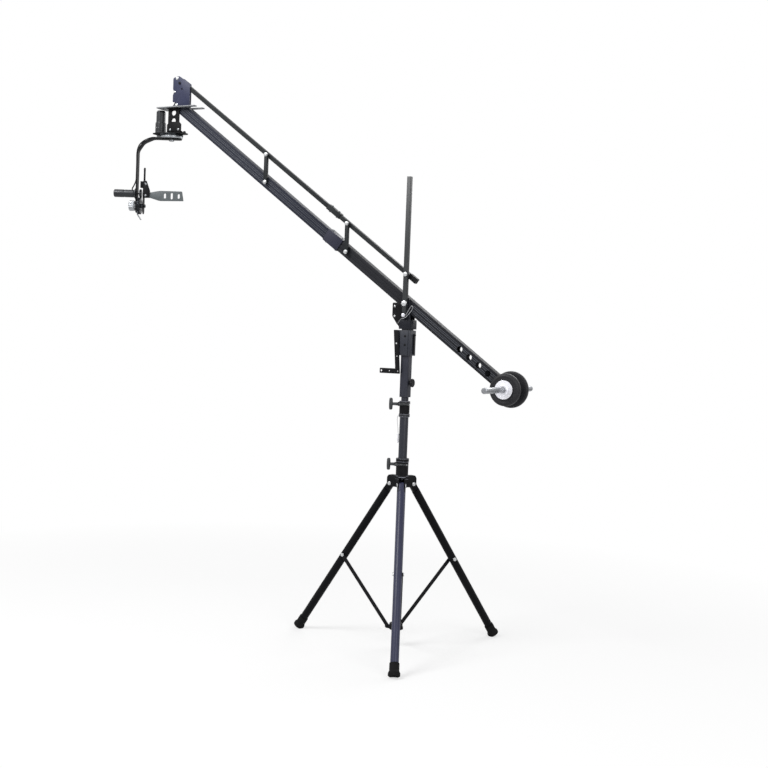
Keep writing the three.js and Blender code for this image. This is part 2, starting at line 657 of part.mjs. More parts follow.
const splice = { place: -470, halfLength: 45, wall: 3.4, boltRadius: 4, boltSpread: 31, boltHeight: 2 };
const rodSplice = { place: -545, halfLength: 40, wall: 2.6 };
const link = { places: [-918.1, -376.6], width: 16, boltRadius: 5, headRadius: 9, headHeight: 5 };
const lightHole = { radius: 13, firstPlace: 319.5, pitch: 54.9, count: 4 };
const frontBolt = { radius: 5, headRadius: 7, headHeight: 4.5 };
const weightBar = { radius: 12.5, halfLength: 261, chamfer: 2 };
const rodShift = -pivotRise * Math.sin(boomSlope);
const rodLift = pivotRise * Math.cos(boomSlope);

// The beam's section, a box with two shallow grooves along each side
function beamSection() {
  const { halfWidth, halfHeight, groove, grooveHalf } = beam;
  const step = groove * 0.6;
  const side = [
    [halfWidth, -halfHeight], [halfWidth, -grooveHalf - 3 * step],
    [halfWidth - groove, -grooveHalf - 2 * step],
    [halfWidth - groove, 2 * step - grooveHalf], [halfWidth, 3 * step - grooveHalf],
    [halfWidth, grooveHalf - 3 * step], [halfWidth - groove, grooveHalf - 2 * step],
    [halfWidth - groove, grooveHalf + 2 * step], [halfWidth, grooveHalf + 3 * step],
    [halfWidth, halfHeight],
  ];
  return outline([...side, ...side.map(([y, z]) => [-y, -z])]);
}

function makeBeam(from, to, holes) {
  const { halfWidth, halfHeight, wall } = beam;
  const inside = rectangle([wall - halfWidth, halfWidth - wall], [wall - halfHeight, halfHeight - wall]);
  const bars = holes.map(([radius, x]) =>
    fitHole('y', radius, -halfWidth - overrun, halfWidth + overrun, [x, 0],
      radius > fulcrum.radius ? holeSides : smallSides));
  return cut(plate('yz', beamSection(), from, to),
    plate('yz', inside, from - overrun, to + overrun), ...bars);
}

// A box that slides over the joint of two lengths, from inner half sizes and a wall
function boxSleeve({ place, halfLength, wall }, [y0, y1], [z0, z1]) {
  const ends = [place - halfLength, place + halfLength];
  const outer = block(ends, [y0 - gap - wall, y1 + gap + wall], [z0 - gap - wall, z1 + gap + wall]);
  const inner = block([ends[0] - overrun, ends[1] + overrun], [y0 - gap, y1 + gap], [z0 - gap, z1 + gap]);
  return cut(outer, inner);
}

function makeSplice() {
  const { halfWidth, halfHeight } = beam;
  const sleeveBox = boxSleeve(splice, [-halfWidth, halfWidth], [-halfHeight, halfHeight]);
  const { place, wall, boltRadius, boltSpread, boltHeight } = splice;
  const face = halfHeight + gap + wall;
  const bolts = [[-1, 1], [1, 1], [-1, -1], [1, -1]].map(([along, up]) => {
    const ends = [up * (face - wall / 2), up * (face + boltHeight)].sort((a, b) => a - b);
    return roundBar('z', boltRadius, ...ends, [place + along * boltSpread, 0], smallSides);
  });
  return join(sleeveBox, ...bolts);
}

// The rod is a square tube beside the beam's middle, on the near side
const rodNear = -beam.halfWidth;
function makeRod(from, to, pivots, sleeved) {
  const { width, wall } = rod;
  const across = [rodNear, rodNear + width];
  const up = [rodLift - width / 2, rodLift + width / 2];
  const outer = block([from, to], across, up);
  const inner = block([from - overrun, to + overrun], [across[0] + wall, across[1] - wall],
    [up[0] + wall, up[1] - wall]);
  const holes = pivots.map(([radius, x]) =>
    fitHole('y', radius, across[0] - overrun, across[1] + overrun, [x, rodLift], 8));
  const tube = cut(outer, inner, ...holes);
  if (!sleeved) {
    return tube;
  }
  const { place, halfLength, wall: shell } = rodSplice;
  const box = block([place - halfLength, place + halfLength], [across[0] - shell, across[1] + shell],
    [up[0] - shell, up[1] + shell]);
  const half = block([place - halfLength - overrun, place], across, up);
  const seat = block([place, place + halfLength + overrun], [across[0] - gap, across[1] + gap],
    [up[0] - gap, up[1] + gap]);
  return join(tube, cut(box, half, seat));
}

// A link and its two bolts: the lower one passes through the beam, the upper through the rod
function makeLink(place) {
  const { width, boltRadius, headRadius, headHeight } = link;
  const x = place * Math.cos(boomSlope);
  const z = fulcrumHeight - place * Math.sin(boomSlope);
  const far = -beam.halfWidth - gap;
  const near = far - width;
  const bar = plate('xz', roundEnded([x, z], [x, z + pivotRise], width / 2), near, far);
  const boltThrough = (height, side) => [
    roundBar('y', headRadius, near - headHeight, near + gap, [x, height], smallSides),
    roundBar('y', boltRadius, near, side + gap + headHeight, [x, height], smallSides),
    roundBar('y', headRadius, side + gap, side + gap + headHeight, [x, height], smallSides),
  ];
  return join(bar, ...boltThrough(z, beam.halfWidth), ...boltThrough(z + pivotRise, rodNear + rod.width));
}

function makeWeightBar() {
  const { radius, halfLength, chamfer } = weightBar;
  return turned('y', [
    [0, -halfLength], [radius - chamfer, -halfLength], [radius, chamfer - halfLength],
    [radius, halfLength - chamfer], [radius - chamfer, halfLength], [0, halfLength],
  ], [weightReach, 0]);
}

// Weights: a disc each side of the beam, held by a collar against sliding off the bar
const nearDisc = { radius: 68.5, thickness: 27, inset: 3.5, edge: 8, rim: 10, recess: 2.5 };
const farDisc = { radius: 77.5, thickness: 27, inset: 3.5, edge: 8, rim: 10, recess: 2.5 };
const discSides = 18;
const collar = { plateRadius: 42, plateThickness: 5, hubRadius: 20, hubThickness: 12, chamfer: 2 };

// The profile runs out from the beam's side: a rounded rim stands proud of a recessed face
function discProfile({ radius, thickness, inset, edge, rim, recess }, sign) {
  const start = beam.halfWidth + inset;
  const end = start + thickness;
  const hub = weightBar.radius * 2;
  const soft = edge * 0.3;
  const points = [
    [0, start], [radius - soft, start], [radius, start + soft], [radius, end - edge],
    [radius - soft, end - soft], [radius - edge, end], [radius - rim, end],
    [radius - rim - recess, end - recess], [hub + recess, end - recess], [hub, end], [0, end],
  ];
  return points.map(([r, y]) => [r, sign * y]);
}

function barHole(from, to) {
  return fitHole('y', weightBar.radius, from, to, [weightReach, 0]);
}

function makeNearDisc() {
  const disc = turned('y', discProfile(nearDisc, -1).reverse(), [weightReach, 0], discSides);
  return cut(disc, barHole(-beam.halfWidth - nearDisc.radius, 0));
}

function makeNearCollar() {
  const { plateRadius, plateThickness, hubRadius, hubThickness, chamfer } = collar;
  const seat = -(beam.halfWidth + nearDisc.inset + nearDisc.thickness + gap);
  const disc = turned('y', [
    [0, seat - plateThickness - hubThickness], [hubRadius - chamfer, seat - plateThickness - hubThickness],
    [hubRadius, chamfer + seat - plateThickness - hubThickness], [hubRadius, seat - plateThickness],
    [plateRadius - chamfer, seat - plateThickness], [plateRadius, chamfer + seat - plateThickness],
    [plateRadius, seat], [0, seat],
  ], [weightReach, 0], discSides);
  return cut(disc, barHole(seat - plateRadius, 0));
}

// The far disc carries its collar in one piece
function makeFarDisc() {
  const end = beam.halfWidth + farDisc.inset + farDisc.thickness;
  const disc = turned('y', discProfile(farDisc, 1), [weightReach, 0], discSides);
  const hub = roundBar('y', collar.hubRadius, end - collar.chamfer, end + collar.hubThickness,
    [weightReach, 0]);
  return cut(join(disc, hub), barHole(0, end + farDisc.radius));
}

const boom = new THREE.Group();
boom.position.z = fulcrumHeight;
boom.rotation.y = boomSlope;
crane.add(boom);
const linkHoles = link.places.map((place) => [link.boltRadius, place]);
const lightHoles = Array.from({ length: lightHole.count }, (_, i) =>
  [lightHole.radius, lightHole.firstPlace + i * lightHole.pitch]);
const frontBeam = makeBeam(-frontReach - beam.nose, splice.place - gap / 2,
  [[frontBolt.radius, -frontReach], linkHoles[0]]);
const rearBeam = makeBeam(splice.place + gap / 2, weightReach + beam.tail,
  [linkHoles[1], [fulcrum.radius, 0], ...lightHoles, [weightBar.radius, weightReach]]);
const rodPivots = link.places.map((place) => [link.boltRadius, place + rodShift]);
const frontRod = makeRod(-frontReach + rodShift - rod.width / 2, rodSplice.place - gap / 2,
  [[frontBolt.radius, -frontReach + rodShift], rodPivots[0]], true);
const rearRod = makeRod(rodSplice.place + gap / 2, rodShift + rod.tail,
  [rodPivots[1], [rod.radius, rodShift]], false);
addPiece(boom, 'front_beam', frontBeam, slateBlue);
addPiece(boom, 'rear_beam', rearBeam, slateBlue);
addPiece(boom, 'beam_splice', makeSplice(), slateBlue);
addPiece(boom, 'rod_front', frontRod, satinBlack);
addPiece(boom, 'rod_rear', rearRod, satinBlack);
addPiece(boom, 'weight_bar', makeWeightBar(), chrome);
addPiece(boom, 'near_weight', makeNearDisc(), satinBlack);
addPiece(boom, 'near_collar', makeNearCollar(), chrome);
addPiece(boom, 'far_weight', makeFarDisc(), satinBlack);
link.places.forEach((place, i) => addPiece(crane, `link_${i + 1}`, makeLink(place), satinBlack));

// Front: two side plates turn on the beam's end and carry the platform, which stays level

const frontX = -frontReach * Math.cos(boomSlope);
const frontZ = fulcrumHeight + frontReach * Math.sin(boomSlope);
const sidePlate = {
  inner: 20.5, thickness: 4.7, left: -5, right: 75, rightTop: 97, apexX: 10, apexZ: 137, earLeft: -24,
  upperEarTop: 130, upperEarBottom: 77, lowerEarTop: 48, lowerEarBottom: 16, corner: 4,
  holeRadius: 4.5, holePlaces: [[15, 103], [28, 75]], sideBolt: [-13, 63],
};
const platform = {
  left: -109, right: 117, halfWidth: 45, thickness: 5, drop: 7.7, corner: 12, slotLeft: -37,
  slotClearance: 1.2,
};
const panAxis = -41.8; // from the front pivot
const basePlate = { left: -134, right: 33, halfWidth: 34, bottom: -133.4, thickness: 6, corner: 10 };
const hanger = {
  left: -47, right: 17, near: -26, thickness: 5.5, holeRadius: 13, holeX: -14.5, upperHole: -36,
  lowerHole: -74.5,
  flangeReach: 18, flangeThickness: 4, footLeft: -49, footRight: 33, footHeight: 48, footChamfer: 13,
  footThickness: 5, footReach: 11, boltRadius: 6, boltX: [-29, 18], boltRise: 10,
};
const gearModule = { module: 2, play: 0.5 };
const panGear = { ...gearModule, teeth: 52, thickness: 9 };
const panPinion = { ...gearModule, teeth: 16, shaftRadius: 3 };
const panMotor = { radius: 24, gearcase: 52, waist: 19.5, headroom: 5, tabReach: 26, tabHeight: 10 };
const turntable = { radius: 52, thickness: 10.5, groove: 2, shaftRadius: 8, nutRadius: 13, nutHeight: 7 };
const arm = {
  thickness: 5.7, halfWidth: 21, right: 50, bend: 9,
  path: [[-88, 0], [-134, -22], [-160, -61]], // from the pan axis, and below the top bar's middle
  bottom: -358,
};
const thumbScrew = { screwRadius: 2.2, screwLength: 12, knobRadius: 8, knobLength: 11, place: -10 };

const platformTop = frontZ - platform.drop;
const baseTop = frontZ + basePlate.bottom + basePlate.thickness;
const baseBottom = frontZ + basePlate.bottom;
const panX = frontX + panAxis;
const gearCentres = ({ module }, one, other) => (module * (one.teeth + other.teeth)) / 2;
const panMotorX = panX - gearCentres(gearModule, panGear, panPinion);

// The far plate is narrower than the near one, so it keeps its own right edge and apex
const farPlate = { right: 48, rightTop: 104, apexX: 4, apexZ: 134 };

function sidePlateShape({ right, rightTop, apexX, apexZ }) {
  const { left, earLeft, upperEarTop, upperEarBottom, lowerEarTop, lowerEarBottom, corner } = sidePlate;
  const bottom = gap - platform.drop;
  return outline([
    [left, bottom], [right, bottom, corner], [right, rightTop, corner], [apexX, apexZ, corner],
    [earLeft, upperEarTop, 2 * corner], [earLeft, upperEarBottom, corner],
    [left - corner, (upperEarBottom + lowerEarTop) / 2, corner], [earLeft, lowerEarTop, corner],
    [earLeft, lowerEarBottom, corner], [left, lowerEarBottom - corner],
  ]);
}

function makeSidePlate(edges) {
  const { inner, thickness, holeRadius, holePlaces } = sidePlate;
  const slab = plate('xz', sidePlateShape(edges), -inner - thickness, -inner);
  const holes = holePlaces.map((place) =>
    roundBar('y', holeRadius, -inner - thickness - overrun, overrun - inner, place, 8));
  return cut(slab, ...holes);
}

// The near plate carries both pivot bolts, which reach through the far plate
function makeNearPlate() {
  const { inner, thickness, sideBolt } = sidePlate;
  const { radius, headRadius, headHeight } = frontBolt;
  const near = -inner - thickness;
  const spacerStart = rodNear + rod.width + gap;
  const bolts = [0, pivotRise].flatMap((z) => [
    roundBar('y', headRadius, near - headHeight, near + gap, [0, z], smallSides),
    roundBar('y', radius, near, -near + gap + headHeight, [0, z], smallSides),
    roundBar('y', headRadius, -near + gap, -near + gap + headHeight, [0, z], smallSides),
  ]);
  const spacer = roundBar('y', headRadius, spacerStart, inner - gap, [0, pivotRise], smallSides);
  const third = roundBar('y', radius, near - headHeight / 2, near + gap, sideBolt, smallSides);
  return join(makeSidePlate(sidePlate), ...bolts, spacer, third).translate(frontX, 0, frontZ);
}

function makeFarPlate() {
  const { inner, thickness } = sidePlate;
  const holes = [0, pivotRise].map((z) =>
    fitHole('y', frontBolt.radius, inner - overrun, inner + thickness + overrun, [0, z], smallSides));
  const slab = makeSidePlate(farPlate).translate(0, 2 * inner + thickness, 0);
  return cut(slab, ...holes).translate(frontX, 0, frontZ);
}

// The platform is forked, so that the beam's end can swing through it
function makePlatform() {
  const { left, right, halfWidth, thickness, corner, slotLeft, slotClearance } = platform;
  const slot = beam.halfWidth + slotClearance;
  const shape = outline([
    [left, -halfWidth, corner], [right, -halfWidth, corner / 2], [right, -slot, corner / 4],
    [slotLeft, -slot, corner / 2], [slotLeft, slot, corner / 2], [right, slot, corner / 4],
    [right, halfWidth, corner / 2], [left, halfWidth, corner],
  ]);
  return plate('xy', shape, platformTop - thickness, platformTop).translate(frontX, 0, 0);
}

function makeHanger() {
  const { left, right, near, thickness, holeRadius, holeX, upperHole, lowerHole } = hanger;
  const { flangeReach, flangeThickness, footLeft, footRight, footHeight, footChamfer } = hanger;
  const top = platformTop - platform.thickness - gap - frontZ;
  const bottom = baseTop + gap - frontZ;
  const web = plate('xz', rectangle([left, right], [bottom, top]), near, near + thickness);
  const flange = block([left, right], [near - flangeReach, near + thickness], [top - flangeThickness, top]);
  const foot = outline([
    [footLeft, bottom], [footRight, bottom], [footRight, bottom + footHeight - footChamfer],
    [footRight - footChamfer, bottom + footHeight], [footLeft + footChamfer, bottom + footHeight],
    [footLeft, bottom + footHeight - footChamfer],
  ]);
  const cheek = plate('xz', foot, near - hanger.footThickness, near + gap);
  const sole = block([footLeft, footRight], [near - hanger.footThickness, near + hanger.footReach],
    [bottom, bottom + flangeThickness]);
  const bolts = hanger.boltX.map((x) => roundBar('y', hanger.boltRadius,
    near - hanger.footThickness - flangeThickness / 2, near, [x, bottom + hanger.boltRise], smallSides));
  const holes = [upperHole, lowerHole].map((z) =>
    roundBar('y', holeRadius, near - overrun * 2, near + overrun * 2, [holeX, z]));
  return join(cut(web, ...holes), flange, cheek, sole, ...bolts).translate(frontX, 0, frontZ);
}

function makeBasePlate() {
  const { left, right, halfWidth, corner } = basePlate;
  const slab = plate('xy', rectangle([left, right], [-halfWidth, halfWidth], corner), baseBottom, baseTop);
  const holeOf = (radius, x) => fitHole('z', radius, baseBottom - overrun, baseTop + overrun, [x, 0], 16);
  const edgeHole = fitHole('x', thumbScrew.screwRadius, right - thumbScrew.screwLength, right + overrun,
    [thumbScrew.place, (baseBottom + baseTop) / 2], smallSides);
  return cut(slab.translate(frontX, 0, 0), holeOf(turntable.shaftRadius, panX),
    holeOf(panPinion.shaftRadius, panMotorX), edgeHole.translate(frontX, 0, 0));
}

function makePanMotor() {
  const { radius, gearcase, waist, headroom, tabReach, tabHeight } = panMotor;
  const bottom = baseTop + gap;
  const top = platformTop - platform.thickness - headroom;
  const body = turned('z', [
    [0, bottom], [radius, bottom], [radius, bottom + gearcase], [waist, bottom + gearcase + 1.2 * gap],
    [waist, top - headroom], [waist - headroom, top], [0, top],
  ], [panMotorX, 0]);
  const tab = block([panMotorX - tabReach, panMotorX], [-tabHeight / 2, tabHeight / 2],
    [bottom + gearcase - 2 * tabHeight, bottom + gearcase - tabHeight]);
  return join(body, tab);
}

// The pan gear and its pinion turn under the base plate; a space meets a tooth at rest
const panGearTop = baseBottom - gap;
const panGearBottom = panGearTop - panGear.thickness;

function makePanPinion() {
  const gear = plate('xy', gearOutline(panPinion, 0, true), panGearBottom, panGearTop);
  const shaft = roundBar('z', panPinion.shaftRadius, panGearTop - overrun, baseTop, [0, 0], smallSides);
  return join(gear, shaft).translate(panMotorX, 0, 0);
}

function makeThumbScrew() {
  const { screwRadius, screwLength, knobRadius, knobLength, place } = thumbScrew;
  const edge = frontX + basePlate.right;
  return turned('x', [
    [0, edge - screwLength + gap], [screwRadius, edge - screwLength + gap], [screwRadius, edge + gap],
    [knobRadius * 0.6, edge + gap], [knobRadius * 0.6, edge + knobLength / 3],
    [knobRadius, edge + knobLength / 3], [knobRadius, edge + knobLength],
    [0, edge + knobLength],
  ], [place, (baseBottom + baseTop) / 2], smallSides);
}

addPiece(crane, 'front_plate_near', makeNearPlate(), slateBlue);
addPiece(crane, 'front_plate_far', makeFarPlate(), slateBlue);
addPiece(crane, 'platform', makePlatform(), satinBlack);
addPiece(crane, 'hanger', makeHanger(), satinBlack);
addPiece(crane, 'base_plate', makeBasePlate(), satinBlack);
addPiece(crane, 'pan_motor', makePanMotor(), gunmetal);
addPiece(crane, 'pan_pinion', makePanPinion(), gunmetal);
addPiece(crane, 'thumb_screw', makeThumbScrew(), blackPlastic);

// Head: everything that pans lies in a frame on the pan axis, x along the tilt axis

const tiltDrop = 324.3; // tilt axis below the top bar's middle
const tiltGear = { ...gearModule, teeth: 38, left: -152, thickness: 12 };
const tiltPinion = { ...gearModule, teeth: 20, left: -146, thickness: 8, shaftRadius: 4 };
const tiltMotor = {
  left: -271, radius: 18.75, length: 98, flangeRadius: 27, flange: 4, edge: 3, waist: 17.5,
};
const tiltShaft = { radius: 6, shoulderRadius: 11, left: -190, headRadius: 8, headLength: 8 };
const tiltKnob = { radius: 25, length: 27, left: -196, dip: 1.5, flutes: 20, neckRadius: 14, neckLength: 5 };
const cradle = {
  left: -129, thickness: 4, halfWidth: 15, bottom: -39, top: 118, stripHalf: 6, stripTop: 184,
  spacerLeft: -143, spacerBottom: 87, spacerHalf: 10, webNear: -15, webThickness: 4.7,
  web: [[4, 40], [4, 119], [17, 121], [35.4, 72], [30.5, 41], [17, 38]],
};
const cameraPlate = {
  thickness: 5, left: -120, neck: -93, wide: -48, right: 60.6, lean: 8, neckBottom: 39, neckTop: 65.5,
  bottom: 26, top: 75, edgeBottom: 29, corner: 3,
};
const cameraSlots = { places: [-24, 10, 44], height: 51, halfWidth: 6.5, halfLengths: [12, 15, 12] };
const guard = {
  thickness: 4, halfWidth: 9, top: -20, path: [[0, -41], [8, -52], [17, -66]],
};

const barTop = panGearBottom - gap - turntable.thickness - gap;
const barMiddle = barTop - arm.thickness / 2;
const tiltZ = barMiddle - tiltDrop;
const armX = arm.path.at(-1)[0];
const tiltPinionZ = tiltZ + gearCentres(gearModule, tiltGear, tiltPinion);

// The outline of a bar bent along a path: its two sides lie half a thickness off, mitred
function bentBar(path, thickness, bend) {
  const sideOf = (sign) => path.map(([x, z], i) => {
    const before = path[Math.max(i - 1, 0)];
    const after = path[Math.min(i + 1, path.length - 1)];
    const unit = ([ax, az], [bx, bz]) => new THREE.Vector2(bx - ax, bz - az).normalize();
    const first = unit(i === 0 ? path[0] : before, i === 0 ? path[1] : [x, z]);
    const second = unit(i === path.length - 1 ? before : [x, z], i === path.length - 1 ? [x, z] : after);
    const mitre = first.clone().add(second).normalize();
    const reach = (sign * thickness) / 2 / mitre.dot(first);
    const isEnd = i === 0 || i === path.length - 1;
    return [x - mitre.y * reach, z + mitre.x * reach, isEnd ? 0 : bend];
  });
  return outline([...sideOf(1), ...sideOf(-1).reverse()]);
}

function makeTurntable() {
  const { radius, thickness, groove, shaftRadius, nutRadius, nutHeight } = turntable;
  const top = panGearBottom - gap;
  const bottom = top - thickness;
  const under = barTop - arm.thickness - gap;
  return turned('z', [
    [0, under - nutHeight], [nutRadius, under - nutHeight], [nutRadius, under], [shaftRadius, under],
    [shaftRadius, bottom], [radius - groove, bottom], [radius, bottom + groove],
    [radius, bottom + thickness / 2 - groove / 2], [radius - groove, bottom + thickness / 2],
    [radius, bottom + thickness / 2 + groove / 2], [radius, top - groove], [radius - groove, top],
    [shaftRadius, top], [shaftRadius, baseTop + gap], [nutRadius, baseTop + gap],
    [nutRadius, baseTop + gap + nutHeight], [0, baseTop + gap + nutHeight],
  ]);
}

function makePanGear() {
  const disc = plate('xy', gearOutline(panGear, Math.PI - headTurn), panGearBottom, panGearTop);
  const bore = fitHole('z', turntable.shaftRadius, panGearBottom - overrun, panGearTop + overrun,
    [0, 0], holeSides);
  return cut(disc, bore);
}

function makeArm() {
  const { thickness, halfWidth, right, bend, path, bottom } = arm;
  const points = [[right, 0], ...path, [armX, bottom]].map(([x, z]) => [x, barMiddle + z]);
  const bar = plate('xz', bentBar(points, thickness, bend), -halfWidth, halfWidth);
  const endShape = roundEnded([0, barMiddle + bottom + halfWidth], [0, barTop + halfWidth], halfWidth);
  const end = plate('yz', endShape, armX - halfWidth, right + overrun);
  const panHole = fitHole('z', turntable.shaftRadius, barTop - thickness - overrun, barTop + overrun,
    [0, 0], 16);
  const across = [armX - thickness - overrun, armX + thickness + overrun];
  const tiltHole = fitHole('x', tiltShaft.radius, ...across, [0, tiltZ], 16);
  const motorHole = fitHole('x', tiltPinion.shaftRadius, ...across, [0, tiltPinionZ], smallSides);
  return cut(keepInside(bar, end), panHole, tiltHole, motorHole);
}

function makeTiltMotor() {
  const { left, radius, length, flangeRadius, flange, edge, waist } = tiltMotor;
  const seat = armX - arm.thickness / 2 - gap;
  return turned('x', [
    [0, left], [radius - edge, left], [radius, left + edge], [radius, left + length / 2],
    [waist, left + length / 2 + gap], [waist, left + length], [flangeRadius, seat - flange],
    [flangeRadius, seat], [0, seat],
  ], [0, tiltPinionZ]);
}

function makeTiltPinion() {
  const { left, thickness, shaftRadius } = tiltPinion;
  const gear = plate('yz', gearOutline(tiltPinion, -Math.PI / 2, true), left, left + thickness);
  const shaft = roundBar('x', shaftRadius, armX - arm.thickness / 2, left + 1, [0, 0], smallSides);
  return join(gear, shaft).translate(0, 0, tiltPinionZ);
}

// The tilt gear and its shaft: the shaft runs from the knob, through the arm and the
// gear, to the head that holds the cradle
function makeTiltGear() {
  const { left, thickness } = tiltGear;
  const { radius, shoulderRadius, left: end, headRadius, headLength } = tiltShaft;
  const plateLeft = cradle.left;
  const plateRight = plateLeft + cradle.thickness;
  const disc = plate('yz', gearOutline(tiltGear, Math.PI / 2), left, left + thickness);
  const gear = disc.translate(0, 0, tiltZ);
  const shaft = turned('x', [
    [0, end], [radius, end], [radius, left + gap], [shoulderRadius, left + gap],
    [shoulderRadius, plateLeft - gap], [radius, plateLeft - gap], [radius, plateRight + gap],
    [headRadius, plateRight + gap], [headRadius, plateRight + headLength], [0, plateRight + headLength],
  ], [0, tiltZ], 12);
  return join(gear, shaft);
}

function makeTiltKnob() {
  const { radius, length, left, dip, flutes, neckRadius, neckLength } = tiltKnob;
  const right = armX - arm.thickness / 2 - gap;
  const grip = plate('yz', fluted(radius, dip, flutes), left, left + length).translate(0, 0, tiltZ);
  const neck = roundBar('x', neckRadius, left + length - neckLength, right, [0, tiltZ]);
  const bore = fitHole('x', tiltShaft.radius, tiltShaft.left - gap, right + overrun, [0, tiltZ], 16);
  return cut(join(grip, neck), bore);
}

// A bent guard on the arm's inner face, which hooks under the tilt gear
function makeGuard() {
  const { thickness, halfWidth, top, path } = guard;
  const seat = armX + arm.thickness / 2 + gap + thickness / 2;
  const points = [[0, top], ...path].map(([x, z]) => [seat + x, tiltZ + z]);
  const below = cut(plate('xz', bentBar(points, thickness, thickness), -halfWidth, halfWidth),
    roundBar('x', 2 * tiltShaft.radius, seat - overrun, seat + overrun, [0, tiltZ]));
  return below;
}

function makeCradle() {
  const { left, thickness, halfWidth, bottom, top, stripHalf, stripTop, webNear, webThickness } = cradle;
  const right = left + thickness;
  const plateShape = roundEnded([0, bottom + halfWidth], [0, top - halfWidth], halfWidth);
  const strip = roundEnded([0, top - halfWidth], [0, stripTop - stripHalf], stripHalf);
  const sidePlates = [plateShape, strip].map((shape) => plate('yz', shape, left, right));
  const square = block([left, right], [-halfWidth, halfWidth], [top - 2 * halfWidth, top]);
  const spacer = block([cradle.spacerLeft, left + thickness / 2], [-cradle.spacerHalf, cradle.spacerHalf],
    [cradle.spacerBottom, top]);
  const web = plate('xz', outline(cradle.web.map(([x, z], i) => [left + (i < 2 ? thickness / 2 : x), z])),
    webNear, webNear + webThickness);
  const hole = fitHole('x', tiltShaft.radius, left - overrun, right + overrun, [0, 0], 16);
  return cut(join(...sidePlates, square, spacer, web), hole).translate(0, 0, tiltZ);
}

// The camera plate stands upright at rest, with three slots for the camera's screw
function makeCameraPlate() {
  const { thickness, left, neck, wide, right, lean, neckBottom, neckTop, bottom, top } = cameraPlate;
  const near = cradle.webNear + cradle.webThickness + gap;
  const shape = outline([
    [left, neckBottom], [neck, neckBottom], [wide, bottom, cameraPlate.corner * 4],
    [right + lean, cameraPlate.edgeBottom, cameraPlate.corner], [right, top, cameraPlate.corner],
    [wide, top, cameraPlate.corner * 4], [neck, neckTop], [left, neckTop],
  ]);
  const { places, height, halfWidth, halfLengths } = cameraSlots;
  const slots = places.map((x, i) => {
    const reach = halfLengths[i] - halfWidth;
    const slot = roundEnded([x, height - reach], [x, height + reach], halfWidth);
    return plate('xz', slot, near - overrun, near + thickness + overrun, 4);
  });
  return cut(plate('xz', shape, near, near + thickness), ...slots).translate(0, 0, tiltZ);
}

const head = new THREE.Group();
head.position.x = panX;
head.rotation.z = headTurn;
crane.add(head);
addPiece(head, 'turntable', makeTurntable(), zinc);
addPiece(head, 'pan_gear', makePanGear(), zinc);
addPiece(head, 'j_arm', makeArm(), satinBlack);
addPiece(head, 'tilt_motor', makeTiltMotor(), gunmetal);
addPiece(head, 'tilt_pinion', makeTiltPinion(), zinc);
addPiece(head, 'tilt_gear', makeTiltGear(), zinc);
addPiece(head, 'tilt_knob', makeTiltKnob(), zinc);
addPiece(head, 'gear_guard', makeGuard(), zinc);
addPiece(head, 'cradle', makeCradle(), satinBlack);
addPiece(head, 'camera_plate', makeCameraPlate(), gunmetal);

// Wires. The head's cable follows the arm's outside from the turntable to the tilt motor

const cableRadius = 3;
const lanyardRadius = 1;
const cableOut = armX - arm.thickness / 2 - gap - cableRadius;
const cableUp = barTop + gap + cableRadius;
const motorTop = tiltPinionZ + tiltMotor.waist + gap;
const cableDrop = cableUp - motorTop;
const headCablePoints = [
  [-turntable.radius - gap, 0, cableUp], [-74, 0, cableUp], [-92, 0, cableUp], [-113, 0, cableUp - 6],
  [-139, 0, cableUp - 20], [-158, 0, cableUp - 42], [cableOut, 0, cableUp - 74],
  [cableOut, 0, cableUp - cableDrop * 0.47], [cableOut, 0, cableUp - cableDrop * 0.7],
  [cableOut - 1, 0, motorTop + 46],
  [-176, 0, motorTop + 22], [-183, 0, motorTop + 9], [-184, 0, motorTop],
];
addPiece(head, 'head_cable', wire(headCablePoints, cableRadius, 24), blackRubber);

// The quick release pin's wire: a loop to the right, then down to the lock plate
const pinWirePoints = [
  [10.4, -49, -51], [18, -54.5, -46], [27, -59, -36], [36, -61.5, -23], [43, -62, -13.5],
  [49, -62, -11], [51.5, -62, -17], [47, -62, -28], [38, -62, -40], [28, -62, -51],
  [18, -61.5, -60], [8, -60.5, -65], [-4, -57, -67], [-16, -47, -73], [-27, -37, -82],
  [-33, -32.9, -88],
].map(([x, y, rise]) => [x, y, fulcrumHeight + rise]);
addPiece(crane, 'pin_lanyard', wire(pinWirePoints, lanyardRadius, 30, 5), zinc);

// A short wire hangs from the upper collar down the tube's left side, with a pin on it
const spare = {
  pinRadius: 2.6, pinTop: upperCollar.bottom - 75, pinBottom: upperCollar.bottom - 114,
  headRadius: 4.2, headHeight: 6,
};
const pinReach = mainTube.radius + spare.headRadius + gap;
const safetyWirePoints = [
  [upperCollar.bandRadius + lanyardRadius + gap, 0, 8], [29, 0, -1], [29.5, 0, -14], [27, 0, -37],
  [24.5, 0, -59], [pinReach, 0, -81],
].map(([x, y, rise]) => [x, y, upperCollar.bottom + rise]);

function makeSafetyLanyard() {
  const { pinRadius, pinTop, pinBottom, headRadius, headHeight } = spare;
  const pin = turned('z', [
    [0, pinBottom], [pinRadius, pinBottom + pinRadius], [pinRadius, pinTop - headHeight],
    [headRadius, pinTop - headHeight], [headRadius, pinTop], [0, pinTop],
  ], [pinReach, 0], 10);
  return join(wire(safetyWirePoints, lanyardRadius, 12, 5), pin).rotateZ(teeTurn);
}

addPiece(crane, 'safety_lanyard', makeSafetyLanyard(), zinc);

// The whole crane is moved so that its box is centred over the origin, with its feet on z = 0
const extent = new THREE.Box3().setFromObject(crane, true);
const middle = extent.getCenter(new THREE.Vector3());
crane.position.set(-middle.x, -middle.y, -extent.min.z);

export default crane;
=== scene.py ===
import json
import math

import bmesh
import bpy
import numpy as np
from mathutils import Matrix


